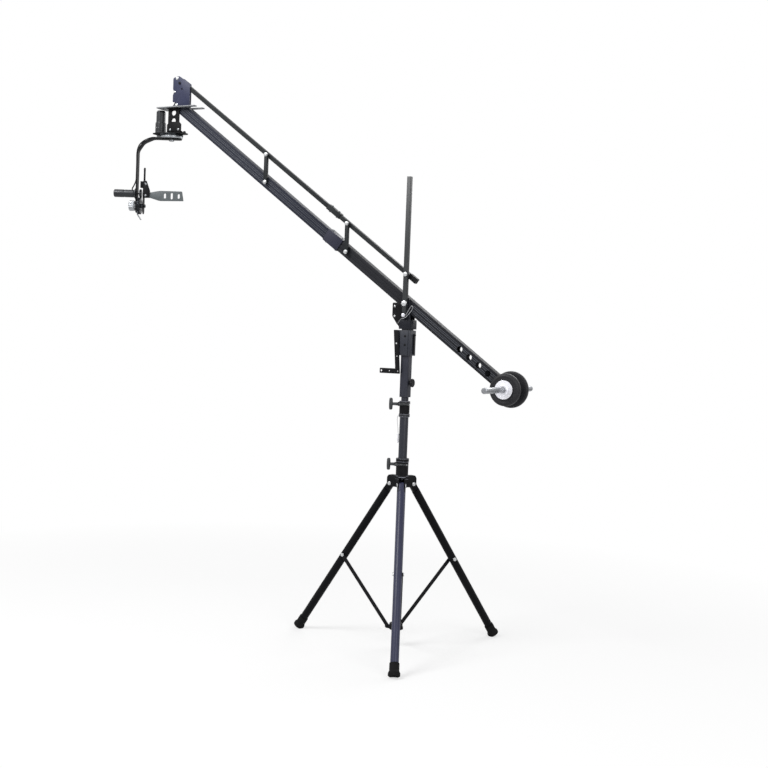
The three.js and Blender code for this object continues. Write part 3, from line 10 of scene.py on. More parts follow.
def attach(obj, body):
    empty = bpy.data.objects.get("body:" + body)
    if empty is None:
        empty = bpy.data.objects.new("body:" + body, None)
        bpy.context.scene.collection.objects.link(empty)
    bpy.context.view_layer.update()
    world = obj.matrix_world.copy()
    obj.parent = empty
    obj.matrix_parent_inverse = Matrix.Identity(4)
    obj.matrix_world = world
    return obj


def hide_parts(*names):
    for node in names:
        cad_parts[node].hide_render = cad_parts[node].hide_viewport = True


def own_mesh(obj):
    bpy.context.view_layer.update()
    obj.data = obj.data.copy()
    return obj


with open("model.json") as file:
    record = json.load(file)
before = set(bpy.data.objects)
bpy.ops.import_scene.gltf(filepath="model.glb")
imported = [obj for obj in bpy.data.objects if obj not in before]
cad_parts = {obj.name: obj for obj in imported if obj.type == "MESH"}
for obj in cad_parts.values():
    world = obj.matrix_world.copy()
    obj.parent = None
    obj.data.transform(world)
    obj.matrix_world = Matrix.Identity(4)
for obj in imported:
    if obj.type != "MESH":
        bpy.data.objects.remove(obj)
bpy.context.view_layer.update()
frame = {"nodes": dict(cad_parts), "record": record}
print("frame loaded")

# Sizes are in mm in the maker's frame: the column stands on x = y = 0, z is up from the floor,
# the boom's nose points to -x and the near side is -y. rowShift moves that frame onto the row's
rowShift = np.array([501.3694, 16.1799, 0.0])
slope = 0.6287  # boom below the horizontal, towards the weights
headTurn = 0.4363  # head about the pan axis
frontLegTurn = -1.1108
legSlope = 0.5842
fulcrumHeight = 1500.0
noseReach = 1563.5  # along the boom, from the fulcrum to the front's lower pivot
panSetback = 41.8
legPivot = (52.7, 713.5)
gap = 0.3  # between pieces that fit together
pole = 0.02  # a profile ends this close to its axis


def turnAbout(axis, angle):
    # rotation matrix about one axis, the usual cosine and sine in the plane of the other two
    c, s = math.cos(angle), math.sin(angle)
    return np.array([[c, -s, 0], [s, c, 0], [0, 0, 1]] if axis == "z" else [[c, 0, s], [0, 1, 0], [-s, 0, c]])


# A frame is a rotation and an origin, both in the maker's frame
column = (np.eye(3), np.zeros(3))
boom = (turnAbout("y", slope), np.array([0, 0, fulcrumHeight]))
nose = np.array([-noseReach * math.cos(slope), 0, fulcrumHeight + noseReach * math.sin(slope)])
front = (np.eye(3), nose)
head = (turnAbout("z", headTurn), np.array([nose[0] - panSetback, 0, 0]))
legSides = [(turnAbout("z", frontLegTurn + i * 2 * math.pi / 3), np.zeros(3)) for i in range(3)]
legTubes = [(side @ turnAbout("y", -legSlope), side @ np.array([legPivot[0], 0, legPivot[1]]))
            for side, _ in legSides]
teeSide = (turnAbout("z", frontLegTurn - math.pi / 2), np.zeros(3))


def toRow(points, base=column):
    # points of a frame in mm, to metres in the row's frame
    turn, origin = base
    return (np.asarray(points, float) @ turn.T + origin + rowShift) / 1000


def within(place, shell):
    # a shell of another frame, in the maker's frame
    turn, origin = place
    return np.asarray(shell[0], float) @ turn.T + origin, shell[1]


def unit(vectors):
    # each vector divided by its own length
    return vectors / np.maximum(np.linalg.norm(vectors, axis=-1, keepdims=True), 1e-9)


def runAlong(line):
    # the length walked from the line's start to each of its points
    return np.concatenate([[0], np.cumsum(np.linalg.norm(np.diff(line, axis=0), axis=1))])


# A shell is (points, faces) in a frame's mm
def skin(rows, joined=False):
    # quads between neighbouring closed rows, with the first and last row capped or joined
    rows = np.asarray(rows, float)
    m, n = rows.shape[:2]
    index = np.arange(m * n).reshape(m, n)
    if joined:
        index = np.vstack([index, index[:1]])
    a, b = index[:-1], index[1:]
    quads = np.stack([a, np.roll(a, -1, 1), np.roll(b, -1, 1), b], -1).reshape(-1, 4).tolist()
    caps = [] if joined else [index[0][::-1].tolist(), index[-1].tolist()]
    return rows.reshape(-1, 3), quads + caps


def eased(points, ease, steps=3, closed=False):
    # each corner becomes a short parabola that starts and ends the ease before and after it
    points = np.asarray(points, float)
    reach = np.broadcast_to(ease, len(points)).astype(float)

    def towards(others):
        away = np.linalg.norm(others - points, axis=1)
        return points + (others - points) * (np.minimum(reach, away * 0.48) / np.maximum(away, 1e-9))[:, None]
    start, end = towards(np.roll(points, 1, 0)), towards(np.roll(points, -1, 0))
    t = np.linspace(0, 1, steps + 1)[None, :, None]
    curve = start[:, None] * (1 - t) ** 2 + points[:, None] * 2 * t * (1 - t) + end[:, None] * t**2
    if closed:
        return curve.reshape(-1, points.shape[1])
    return np.vstack([points[:1], curve[1:-1].reshape(-1, points.shape[1]), points[-1:]])


def lathe(axis, profile, centre=(0, 0), sides=48, ease=0.5, ripple=None, hollow=False):
    # the profile [radius, along] turned about the axis: radius times cosine and sine of the turn
    profile = eased(profile, ease, closed=hollow) if ease else np.asarray(profile, float)
    turn = np.linspace(0, 2 * math.pi, sides, endpoint=False)
    radius, along = profile[:, :1] * np.ones(sides), profile[:, 1:2] * np.ones(sides)
    if ripple is not None:
        radius = radius - ripple(profile[:, 1:2], turn[None, :])
    across, up = radius * np.cos(turn), radius * np.sin(turn)
    order = {"x": (along, across + centre[0], up + centre[1]),
             "y": (up + centre[0], along, across + centre[1]),
             "z": (across + centre[0], up + centre[1], along)}[axis]
    return skin(np.stack(order, -1), joined=hollow)


def spun(axis, profile, centre=(0, 0), sides=48, ease=0.5, ripple=None):
    # a turned form that closes flat on its axis at both ends
    closed = [[pole, profile[0][1]], *profile, [pole, profile[-1][1]]]
    return lathe(axis, closed, centre, sides, ease, ripple)


def bar(axis, radius, start, end, centre=(0, 0), sides=32, ease=0.4):
    rim = [[radius - ease, start], [radius, start + ease], [radius, end - ease], [radius - ease, end]]
    return lathe(axis, rim, centre, sides, ease=0)


def pipe(axis, radius, wall, start, end, centre=(0, 0), sides=64):
    section = [[radius, start], [radius, end], [radius - wall, end], [radius - wall, start]]
    return lathe(axis, section, centre, sides, ease=0.4, hollow=True)


def prism(plane, loop, start, end, ease=0.5, wall=0):
    # a flat loop carried across its plane; its edges draw in by the ease at both ends, along the
    # loop's outward normals, which are its tangent turned a quarter by its sense
    loop = np.asarray(loop, float)
    after = np.roll(loop, -1, 0)
    tangent = unit(after - np.roll(loop, 1, 0))
    sense = np.sign(np.sum(loop[:, 0] * after[:, 1] - loop[:, 1] * after[:, 0]))
    normal = np.stack([tangent[:, 1], -tangent[:, 0]], -1) * sense
    third = ease * 0.3
    levels = [(0, start), (0, end)]
    if ease:
        levels = [(ease, start), (third, start + third), (0, start + ease),
                  (0, end - ease), (third, end - third), (ease, end)]
    if wall:
        levels += [(wall - ease / 2, end), (wall, end - ease), (wall, start + ease), (wall - ease / 2, start)]
    rows = []
    for inset, at in levels:
        a, b = (loop - normal * inset).T
        c = np.full(len(loop), at)
        rows.append(np.stack({"xy": (a, b, c), "xz": (a, c, b), "yz": (c, a, b)}[plane], -1))
    return skin(rows, joined=bool(wall))


def rounded(corners, steps=6):
    # a closed loop from corners [x, y, corner radius], each radius a parabola
    corners = np.array([[*c, 0.0][:3] for c in corners], float)
    return eased(corners[:, :2], np.maximum(corners[:, 2], 0.01), steps, closed=True)


def boxLoop(x, y, radius, steps=6):
    # x and y are each two ends, or one half width about zero
    (a, b), (c, d) = [(-size, size) if np.isscalar(size) else size for size in (x, y)]
    return rounded([[a, c, radius], [b, c, radius], [b, d, radius], [a, d, radius]], steps)


def linkLoop(a, b, radius, steps=16):
    # two half circles about a and b, joined by their tangents
    a, b = np.array(a, float), np.array(b, float)
    turn = math.atan2(*(b - a)[::-1])
    half = np.linspace(-math.pi / 2, math.pi / 2, steps)
    return np.vstack([centre + radius * np.stack([np.cos(way + half), np.sin(way + half)], -1)
                      for centre, way in ((b, turn), (a, turn + math.pi))])


def hexLoop(centre, flats, turn=0.3):
    angle = turn + np.arange(6) * math.pi / 3
    reach = flats / math.sqrt(3)
    return np.stack([centre[0] + reach * np.cos(angle), centre[1] + reach * np.sin(angle)], -1)


def smoothLine(points, steps):
    # cubic Hermite pieces through the points, with half the step from neighbour to neighbour as tangent
    points = np.asarray(points, float)
    tangent = np.gradient(points, axis=0)
    share = np.linspace(0, len(points) - 1, steps)
    i = np.minimum(share.astype(int), len(points) - 2)
    t = (share - i)[:, None]
    rise = 3 * t**2 - 2 * t**3
    return ((1 - rise) * points[i] + rise * points[i + 1]
            + (t**3 - 2 * t**2 + t) * tangent[i] + (t**3 - t**2) * tangent[i + 1])


def hose(line, radius, sides=16, guide=(0.31, 0.9, 0.27)):
    # a circle carried along the line, square to it, steadied by a guide direction
    line = np.asarray(line, float)
    tangent = unit(np.gradient(line, axis=0))
    side = unit(np.cross(tangent, unit(np.array(guide))))
    up = np.cross(side, tangent)
    turn = np.linspace(0, 2 * math.pi, sides, endpoint=False)[None, :, None]
    return skin(line[:, None] + radius * (np.cos(turn) * side[:, None] + np.sin(turn) * up[:, None]))


def strap(line, halfWidth, thickness, roundEnds=True):
    # a flat bar bent along a line in the xz plane: its section rides on the line's normal, and
    # near an end the half width is the chord of a circle at that distance from the end
    line = np.asarray(line, float)
    tangent, run = unit(np.gradient(line, axis=0)), runAlong(line)
    normal = np.stack([-tangent[:, 1], tangent[:, 0]], -1)
    wide, thick = boxLoop(halfWidth, thickness / 2, 1.0, 3).T
    half = np.full(len(run), halfWidth)
    if roundEnds:
        end = np.clip(np.minimum(run, run[-1] - run), 0, halfWidth)
        half = np.sqrt(np.maximum(halfWidth**2 - (halfWidth - end) ** 2, 0.04))
    across = np.sign(wide) * np.maximum(np.abs(wide) - (halfWidth - half)[:, None], 0.02)
    place = line[:, None] + normal[:, None] * thick[:, None]
    return skin(np.stack([place[..., 0], across, place[..., 1]], -1))


def bentLine(points, bend, spacing=2.5):
    # straight runs with each corner a parabola of the bend's reach, at an even spacing
    path = eased(points, bend, 12)
    run = runAlong(path)
    keep = np.concatenate([[True], np.diff(run) > 1e-6])
    at = np.linspace(0, run[-1], int(run[-1] / spacing))
    return np.stack([np.interp(at, run[keep], path[keep, i]) for i in (0, 1)], -1)


teeth = {"module": 2, "play": 0.5, "heights": (-1.25, -0.6, 0, 0.6, 1.0),
         "narrowing": (1.72, 1.36, 1.0, 0.66, 0.42)}


def gearLoop(count, turn, centre=(0, 0), spaceFirst=False):
    # each flank is five points whose half angle narrows from the root to the tip
    pitch = teeth["module"] * count / 2
    half = math.pi / 2 / count - teeth["play"] / 2 / pitch
    radius = pitch + teeth["module"] * np.array(teeth["heights"])
    angle = half * np.array(teeth["narrowing"])
    radius, angle = np.concatenate([radius, radius[::-1]]), np.concatenate([-angle, angle[::-1]])
    middle = turn + (np.arange(count) + (0.5 if spaceFirst else 0)) * 2 * math.pi / count
    spread = middle[:, None] + angle
    return np.stack([radius * np.cos(spread), radius * np.sin(spread)], -1).reshape(-1, 2) + np.array(centre)


def flutes(count, depth):
    # grooves round a grip: half the depth times one less the cosine of count turns
    return lambda along, turn: depth / 2 * (1 - np.cos(count * turn)) + 0 * along


def block(x, y, z, ease=0.4):
    return prism("xy", boxLoop(x, y, ease, 2), z[0], z[1], ease)


def boltHeads(axis, places, seat, out, flats=13.0, height=3.0, washer=1.0):
    # at each place a washer and a hexagon stand off the seat in the direction out, which is 1 or -1
    inner, top, shells = seat + out * washer, seat + out * (washer + height), []
    plane = {"x": "yz", "y": "xz", "z": "xy"}[axis]
    for place in places:
        shells += [bar(axis, flats * 0.62, *sorted((seat, inner)), place, 32, 0.2),
                   prism(plane, hexLoop(place, flats), *sorted((inner, top)), 0.5)]
    return shells


def button(axis, centre, seat, out, radius=5.0, height=2.6):
    # a domed head: the radius falls as the root of one less the square of the height's share
    rows = [[radius * math.sqrt(1 - 0.92 * t * t), seat + out * height * t] for t in np.linspace(0, 1, 7)]
    return spun(axis, rows, centre, 28, 0)


def straighten(mesh, angle=46):
    build = bmesh.new()
    build.from_mesh(mesh)
    bmesh.ops.recalc_face_normals(build, faces=build.faces)
    build.to_mesh(mesh)
    build.free()
    mesh.shade_smooth()
    mesh.set_sharp_from_angle(angle=math.radians(angle))


def addObject(name, data):
    piece = bpy.data.objects.new(name, data)
    bpy.context.collection.objects.link(piece)
    return piece


def applied(piece):
    bpy.context.view_layer.update()
    graph = bpy.context.evaluated_depsgraph_get()
    mesh = bpy.data.meshes.new_from_object(piece.evaluated_get(graph))
    piece.modifiers.clear()
    piece.data = mesh
    return mesh


def drilled(shell, holes):
    # a boolean takes each hole's shell out of the shell
    pieces = []
    for points, faces in (shell, *holes):
        mesh = bpy.data.meshes.new("blank")
        mesh.from_pydata(np.asarray(points, float).tolist(), [], faces)
        straighten(mesh)
        pieces.append(addObject("blank", mesh))
    for tool in pieces[1:]:
        step = pieces[0].modifiers.new("drill", "BOOLEAN")
        step.object, step.operation, step.solver = tool, "DIFFERENCE", "EXACT"
    mesh = applied(pieces[0])
    points = np.empty(len(mesh.vertices) * 3)
    mesh.vertices.foreach_get("co", points)
    faces = [list(face.vertices) for face in mesh.polygons]
    for piece in pieces:
        bpy.data.objects.remove(piece)
    return points.reshape(-1, 3), faces


bodyOf = {node: body for body, nodes in frame["record"]["behaviour"]["bodies"].items() for node in nodes}


def show(name, mesh, finish, node, nodes):
    piece = addObject(name, mesh)
    mesh.materials.clear()
    mesh.materials.append(finishes[finish])
    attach(piece, bodyOf[node])
    if nodes:
        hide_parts(*nodes)
    return piece


def addPiece(name, shells, finish, node, nodes, base):
    # every shell goes into one mesh, numbered on from the last
    points, faces, count = [], [], 0
    for corners, polygons in shells:
        points.append(corners)
        faces += [[i + count for i in polygon] for polygon in polygons]
        count += len(corners)
    mesh = bpy.data.meshes.new(name)
    mesh.from_pydata(toRow(np.vstack(points), base).tolist(), [], faces)
    straighten(mesh)
    return show(name, mesh, finish, node, nodes)


def put(node, shells, finish, base=column):
    # a fine piece that stands for a CAD node, on its body and with its finish
    first, *others = node.split("_")
    name = first + "".join(word.title() for word in others) + "Fine"
    return addPiece(name, shells, finish, node, [node], base)


def fit(name, shells, finish, node, base=column):
    # a small fitting that rides with a CAD node's body
    return addPiece(name, shells, finish, node, [], base)


def softened(node, finish, ease=0.5, angle=38):
    # a merged copy of a CAD node with its flat faces cleaned and its edges eased
    build = bmesh.new()
    build.from_mesh(frame["nodes"][node].data)
    bmesh.ops.remove_doubles(build, verts=build.verts, dist=1e-5)
    bmesh.ops.dissolve_limit(build, angle_limit=math.radians(1.5), verts=build.verts, edges=build.edges)
    mesh = bpy.data.meshes.new(node + "Soft")
    build.to_mesh(mesh)
    build.free()
    piece = addObject(node + "Soft", mesh)
    easing = piece.modifiers.new("ease", "BEVEL")
    easing.width, easing.segments, easing.limit_method = ease / 1000, 2, "ANGLE"
    easing.angle_limit, easing.use_clamp_overlap = math.radians(32), True
    mesh = applied(piece)
    bpy.data.objects.remove(piece)
    straighten(mesh, angle)
    return show(node + "Soft", mesh, finish, node, [node])


def hexColour(code):
    # sRGB hex to linear: below 0.04045 divided by 12.92, above it the 2.4 power curve
    value = np.array([int(code[i:i + 2], 16) / 255 for i in (1, 3, 5)])
    linear = np.where(value <= 0.04045, value / 12.92, ((value + 0.055) / 1.055) ** 2.4)
    return (*linear.tolist(), 1.0)


def addNode(tree, kind, settings=None, links=None, **fields):
    node = tree.nodes.new(kind)
    for field, value in fields.items():
        setattr(node, field, value)
    for socket, value in (settings or {}).items():
        node.inputs[socket].default_value = value
    for socket, source in (links or {}).items():
        tree.links.new(source, node.inputs[socket])
    return node


def cleared(holder):
    holder.use_nodes = True
    holder.node_tree.nodes.clear()
    return holder.node_tree


def surfaceFinish(name, dark, light, drift, grain, smooth, rough, bump, depth, metallic=0.0, specular=0.5,
                  run=None):
    # colour drifts between two tones, roughness between two values, and a grain lifts the surface
    finish = bpy.data.materials.new(name)
    tree = cleared(finish)
    turn, stretch = run or ((0, 0, 0), (1, 1, 1))
    place = addNode(tree, "ShaderNodeTexCoord")
    laid = addNode(tree, "ShaderNodeMapping", {"Rotation": turn, "Scale": stretch},
                   {"Vector": place.outputs["Object"]})
    cloud, speck = [addNode(tree, "ShaderNodeTexNoise", {"Scale": 1000 / size, "Detail": detail, "Roughness": mix},
                            {"Vector": laid.outputs["Vector"]}).outputs["Fac"]
                    for size, detail, mix in ((drift, 4.0, 0.6), (grain, 3.0, 0.65))]
    tone = addNode(tree, "ShaderNodeMix", {6: hexColour(dark), 7: hexColour(light)}, {0: cloud}, data_type="RGBA")
    gloss = addNode(tree, "ShaderNodeMapRange",
                    {"From Min": 0.3, "From Max": 0.7, "To Min": smooth, "To Max": rough}, {"Value": speck})
    lift = addNode(tree, "ShaderNodeBump", {"Strength": bump, "Distance": depth / 1000}, {"Height": speck})
    shader = addNode(tree, "ShaderNodeBsdfPrincipled", {"Metallic": metallic, "Specular IOR Level": specular},
                     {"Base Color": tone.outputs[2], "Roughness": gloss.outputs["Result"],
                      "Normal": lift.outputs["Normal"]})
    addNode(tree, "ShaderNodeOutputMaterial", links={"Surface": shader.outputs["BSDF"]})
    return finish


drawn, drawnCoarse = [((0, -slope, 0), (share, 1, 1)) for share in (0.03, 0.05)]  # grain along the boom
ground = ((0, 0, 0), (0.2, 1, 0.2))  # grain round the weight bar
looks = {
    # dark and light tone, drift and grain in mm, roughness from and to, bump and its depth in mm,
    # metallic, specular, and how a grain runs
    # the stand's tubes: a cool grey-black coat with a fine orange peel about 1.6 mm across
    "tubeCoat": ("#1b1d26", "#23262f", 60, 1.6, 0.3, 0.42, 0.2, 0.06, 0, 0.35),
    "postCoat": ("#23242d", "#2b2d38", 50, 1.2, 0.36, 0.5, 0.15, 0.05, 0, 0.3),
    "postBlackCoat": ("#202224", "#292c2e", 60, 1.2, 0.34, 0.46, 0.15, 0.05, 0, 0.4),
    "sleeveCoat": ("#22242c", "#2b2e37", 30, 1.0, 0.32, 0.46, 0.15, 0.05, 0, 0.35),
    "yokeCoat": ("#191a1f", "#22242b", 25, 1.0, 0.34, 0.46, 0.15, 0.05, 0, 0.15),
    # painted highlight: the collar's bands are a lighter black than its body, which stands in for the light on them
    "collarCoat": ("#15161a", "#1f2127", 20, 1.0, 0.22, 0.34, 0.12, 0.04, 0, 0.5),
    # powder coat on steel: baked powder leaves a peel about 1.6 mm across
    "blackPowderCoat": ("#0c0c0e", "#131316", 60, 1.6, 0.4, 0.54, 0.25, 0.08, 0, 0.12),
    "legBlackCoat": ("#08080a", "#0e0e11", 70, 1.6, 0.4, 0.52, 0.2, 0.06, 0, 0.08),
    # painted light: the front leg has the legs' coat painted lighter and bluer, which stands in for the light
    # falling on it
    "legBlueCoat": ("#24263a", "#2e314a", 70, 1.6, 0.32, 0.44, 0.2, 0.06, 0, 0.3),
    # anodised extrusion: draw lines run along the beam, about 1.2 mm apart
    "slateAnodised": ("#1b1d27", "#252834", 45, 1.2, 0.42, 0.52, 0.1, 0.03, 0, 0.2, drawn),
    "blackAnodised": ("#17181c", "#1f2025", 45, 1.2, 0.5, 0.6, 0.1, 0.03, 0, 0.16, drawn),
    "spliceAnodised": ("#20212e", "#292a3a", 30, 1.2, 0.32, 0.44, 0.1, 0.03, 0, 0.3, drawnCoarse),
    "rodAnodised": ("#1a1c1e", "#232628", 45, 1.0, 0.42, 0.52, 0.1, 0.03, 0, 0.2, drawn),
    "plateAnodised": ("#282b42", "#31354f", 30, 1.0, 0.36, 0.5, 0.12, 0.03, 0, 0.3),
    "blackPlate": ("#0e0e10", "#161618", 35, 1.0, 0.44, 0.56, 0.06, 0.04, 0, 0.1),
    # black plate painted a lighter grey, which stands in for the light on the platform's top; its tone drifts in
    # patches
    "paintedLightPlate": ("#4a4c50", "#9a9da0", 9, 1.0, 0.32, 0.46, 0.15, 0.04, 0, 0.5),
    "greyPlate": ("#4d5255", "#5b6062", 30, 0.9, 0.36, 0.5, 0.12, 0.03, 0, 0.35),
    # bright zinc plate: a milky blue-white passivation, cloudy at about 12 mm
    "brightZinc": ("#c2c5c8", "#dcdddd", 12, 0.8, 0.24, 0.38, 0.12, 0.03, 0.85),
    "zincBolt": ("#b2b4b6", "#d2d3d3", 8, 0.7, 0.26, 0.4, 0.1, 0.02, 0.7),
    "chromePlate": ("#eaeaf1", "#f4f4f9", 40, 6.0, 0.24, 0.3, 0.02, 0.01, 0.6),
    "satinAluminium": ("#94979b", "#aaadb0", 18, 0.7, 0.3, 0.42, 0.12, 0.02, 0.85),
    # ground bar: the wheel's marks run round it and lie close together along it
    "groundSteel": ("#85878b", "#9c9ea2", 30, 1.2, 0.32, 0.36, 0.01, 0.01, 0.9, 0.5, ground),
    "dullSteel": ("#7d8083", "#9a9da0", 12, 0.8, 0.32, 0.46, 0.12, 0.03, 0.9),
    "gunmetalPlate": ("#2c2e31", "#3e4145", 16, 0.8, 0.3, 0.42, 0.12, 0.03, 0.9),
    # painted highlights: light grey rings on the collars' edges and strips on the grooves' lips, which stand in for
    # the light they catch as thin lines
    "paintedEdgeHighlight": ("#5c5f68", "#888b94", 8, 0.8, 0.26, 0.4, 0.1, 0.02, 0.5),
    "paintedLipHighlight": ("#3a3d44", "#50535b", 40, 1.2, 0.4, 0.5, 0.05, 0.01, 0.2, 0.5, drawnCoarse),
    # cast iron under enamel: the sand's texture shows through, about 3 mm
    "castEnamel": ("#131316", "#1d1d21", 30, 3.2, 0.46, 0.6, 0.06, 0.18, 0, 0.3),
    "motorCase": ("#232427", "#303235", 25, 0.8, 0.28, 0.42, 0.1, 0.02, 0.3, 0.4),
    "mouldedRubber": ("#0c0c0d", "#141415", 20, 1.4, 0.66, 0.84, 0.3, 0.1, 0, 0.12),
    # glass-filled nylon grips, lighter grey than the rest
    "mouldedGrip": ("#242628", "#303336", 16, 0.9, 0.3, 0.42, 0.12, 0.03, 0, 0.5),
    "mouldedNylon": ("#0f0f11", "#18181a", 22, 0.9, 0.42, 0.58, 0.2, 0.04, 0, 0.15),
    "cableJacket": ("#0c0c0d", "#141415", 15, 0.8, 0.4, 0.55, 0.15, 0.03, 0, 0.3),
    "steelRope": ("#9d9fa2", "#c9cbcd", 3, 0.5, 0.3, 0.45, 0.4, 0.1, 0.9),
}
finishes = {name: surfaceFinish(name, *look) for name, look in looks.items()}
print("finishes mixed:", len(finishes))


cameraSet = {"lens": 57.16, "place": (2356.4, -4756.1, 1346.5), "heading": 0.4776, "pitch": -0.0375, "roll": 0.0387}
lamps = {
    "keyLamp": {"place": (-1.6, -3.4, 5.0), "aim": (-0.1, 0, 1.3), "size": 2.4, "watts": 230},
    "fillLamp": {"place": (3.9, -2.4, 2.6), "aim": (0, 0, 1.2), "size": 2.2, "watts": 60},
    "backLamp": {"place": (0.6, 3.8, 3.8), "aim": (0, 0, 1.5), "size": 2.4, "watts": 70},
}
studio = {"glow": 0.4, "floorReach": 40.0, "floorDrop": 0.0004, "fade": (1.2, 3.2), "nearWhite": 0.6,
          "tone": "#f2f2f2"}


def stand(holder, axes, place):
    # the holder's three axes are its matrix's columns, and its place is the last one
    matrix = np.eye(4)
    matrix[:3, :3], matrix[:3, 3] = axes, place
    holder.matrix_world = Matrix(matrix.tolist())


def makeCamera():
    # right, up and forward are turned by the heading about z, by the pitch, and by the roll
    (c, s), (cp, sp), (cr, sr) = [(math.cos(cameraSet[turn]), math.sin(cameraSet[turn]))
                                  for turn in ("heading", "pitch", "roll")]
    right, ahead = np.array([c, s, 0]), np.array([-s * cp, c * cp, sp])
    up = np.cross(right, ahead)
    lens = bpy.data.cameras.new("photoCamera")
    lens.lens, lens.sensor_width = cameraSet["lens"], 36.0
    lens.clip_start, lens.clip_end = 0.05, 200
    camera = addObject("photoCamera", lens)
    stand(camera, np.stack([cr * right + sr * up, cr * up - sr * right, -ahead], 1), toRow(cameraSet["place"]))
    bpy.context.scene.camera = camera


def makeLamps():
    for name, lamp in lamps.items():
        light = bpy.data.lights.new(name, "AREA")
        light.size, light.energy = lamp["size"], lamp["watts"]
        place = np.array(lamp["place"])
        back = unit(place - np.array(lamp["aim"]))
        side = unit(np.cross([0, 0, 1], back))
        stand(addObject(name, light), np.stack([side, np.cross(back, side), back], 1), place)


def makeWorld():
    # the camera, mirrors and glass see plain white, and everything is lit by an even grey
    world = bpy.data.worlds.new("studio")
    bpy.context.scene.world = world
    tree = cleared(world)
    ray = addNode(tree, "ShaderNodeLightPath")
    seen = ray.outputs["Is Camera Ray"]
    for other in ("Is Transmission Ray", "Is Glossy Ray"):
        seen = addNode(tree, "ShaderNodeMath", links={0: seen, 1: ray.outputs[other]},
                       operation="MAXIMUM").outputs[0]
    strength = addNode(tree, "ShaderNodeMapRange", {"To Min": studio["glow"], "To Max": 1.0}, {"Value": seen})
    light = addNode(tree, "ShaderNodeBackground", {"Color": (1, 1, 1, 1)}, {"Strength": strength.outputs["Result"]})
    addNode(tree, "ShaderNodeOutputWorld", links={"Surface": light.outputs["Background"]})


def makeFloor():
    # a disc whose own white fades in away from the crane, so that no horizon shows
    turn = np.linspace(0, 2 * math.pi, 96, endpoint=False)
    rim = np.stack([np.cos(turn), np.sin(turn), 0 * turn], -1) * studio["floorReach"]
    rim[:, 2] -= studio["floorDrop"]
    mesh = bpy.data.meshes.new("studioFloor")
    mesh.from_pydata(rim.tolist(), [], [list(range(len(rim)))])
    floor = addObject("studioFloor", mesh)
    paint = bpy.data.materials.new("pavedWhite")
    tree = cleared(paint)
    place = addNode(tree, "ShaderNodeTexCoord")
    reach = addNode(tree, "ShaderNodeVectorMath", links={0: place.outputs["Object"]}, operation="LENGTH")
    start, end = studio["fade"]
    away = addNode(tree, "ShaderNodeMapRange",
                   {"From Min": start, "From Max": end, "To Min": studio["nearWhite"], "To Max": 1.0},
                   {"Value": reach.outputs["Value"]})
    ray = addNode(tree, "ShaderNodeLightPath")
    seen = addNode(tree, "ShaderNodeMath", links={0: away.outputs["Result"], 1: ray.outputs["Is Camera Ray"]},
                   operation="MULTIPLY")
    matt = addNode(tree, "ShaderNodeBsdfDiffuse", {"Color": hexColour(studio["tone"])})
    white = addNode(tree, "ShaderNodeEmission", {"Color": (1, 1, 1, 1), "Strength": 1.0})
    both = addNode(tree, "ShaderNodeMixShader", links={0: seen.outputs[0], 1: matt.outputs[0], 2: white.outputs[0]})
    addNode(tree, "ShaderNodeOutputMaterial", links={"Surface": both.outputs[0]})
    mesh.materials.append(paint)


makeCamera()
makeLamps()
makeWorld()
makeFloor()
bpy.context.scene.view_settings.view_transform = "Standard"
print("camera, lamps and floor placed")


# The head hangs from the base plate, whose place is measured from the front's lower pivot
basePlate = {"box": (-134, 33), "half": 34, "corner": 10, "bottom": -133.4, "top": -127.4, "shaft": -panSetback,
             "pinion": -109.8, "gearHeight": 9}
turntable = {"radius": 52, "thickness": 10.5, "groove": 2, "shaft": 8, "nut": 13, "nutHeight": 7, "nutEdge": 5.6}
arm = {"thickness": 5.7, "half": 21, "bend": 12,
       "path": ((50, 0), (-88, 0), (-134, -22), (-160, -61), (-160, -358)), "side": -160, "tilt": -324.3,
       "pinion": 58}
gearLow = nose[2] + basePlate["bottom"] - basePlate["gearHeight"] - gap
barTop = gearLow - gap - turntable["thickness"] - gap
barMiddle = barTop - arm["thickness"] / 2
tiltZ = barMiddle + arm["tilt"]
pinionZ = tiltZ + arm["pinion"]
armFace = arm["side"] - arm["thickness"] / 2 - gap

# Cords
cableUp, cableOut, motorTop = barTop + 3.3, armFace - 3, tiltZ + 75.8
cableDrop = cableUp - motorTop
cords = {
    "headCable": {
        "node": "head_cable", "frame": head, "radius": 3.0, "steps": 90, "finish": "cableJacket",
        "stiffness": "medium", "lay": "taut", "points": [
            [-52.3, 0, cableUp], [-74, 0, cableUp], [-92, 0, cableUp], [-113, 0, cableUp - 6],
            [-139, 0, cableUp - 20], [-158, 0, cableUp - 42], [cableOut, 0, cableUp - 74],
            [cableOut, 0, cableUp - cableDrop * 0.47], [cableOut, 0, cableUp - cableDrop * 0.7],
            [cableOut - 1, 0, motorTop + 46], [-176, 0, motorTop + 22], [-183, 0, motorTop + 9],
            [-184, 0, motorTop]]},
    "pinRope": {
        "node": "pin_lanyard", "frame": column, "radius": 1.0, "steps": 140, "finish": "steelRope",
        "stiffness": "stiff", "lay": "hanging", "points": [
            [10.4, -49, 1449], [18, -54.5, 1454], [27, -59, 1464], [36, -61.5, 1477], [43, -62, 1486.5],
            [49, -62, 1489], [51.5, -62, 1483], [47, -62, 1472], [38, -62, 1460], [28, -62, 1449],
            [18, -61.5, 1440], [8, -60.5, 1435], [-4, -57, 1433], [-16, -47, 1427], [-27, -37, 1418],
            [-33, -32.9, 1412]]},
    "safetyRope": {
        "node": "safety_lanyard", "frame": teeSide, "radius": 1.0, "steps": 60, "finish": "steelRope",
        "stiffness": "stiff", "lay": "hanging", "points": [
            [25.3, 0, 1015], [29, 0, 1006], [29.5, 0, 993], [27, 0, 970], [24.5, 0, 948], [23.55, 0, 926]]},
}


def makeCord(name, cord):
    line = smoothLine(cord["points"], cord["steps"])
    node = cord["node"]
    piece = addPiece(name, [hose(line, cord["radius"])], cord["finish"], node, [node], cord["frame"])
    return piece


cordPieces = {name: makeCord(name, cord) for name, cord in cords.items()}
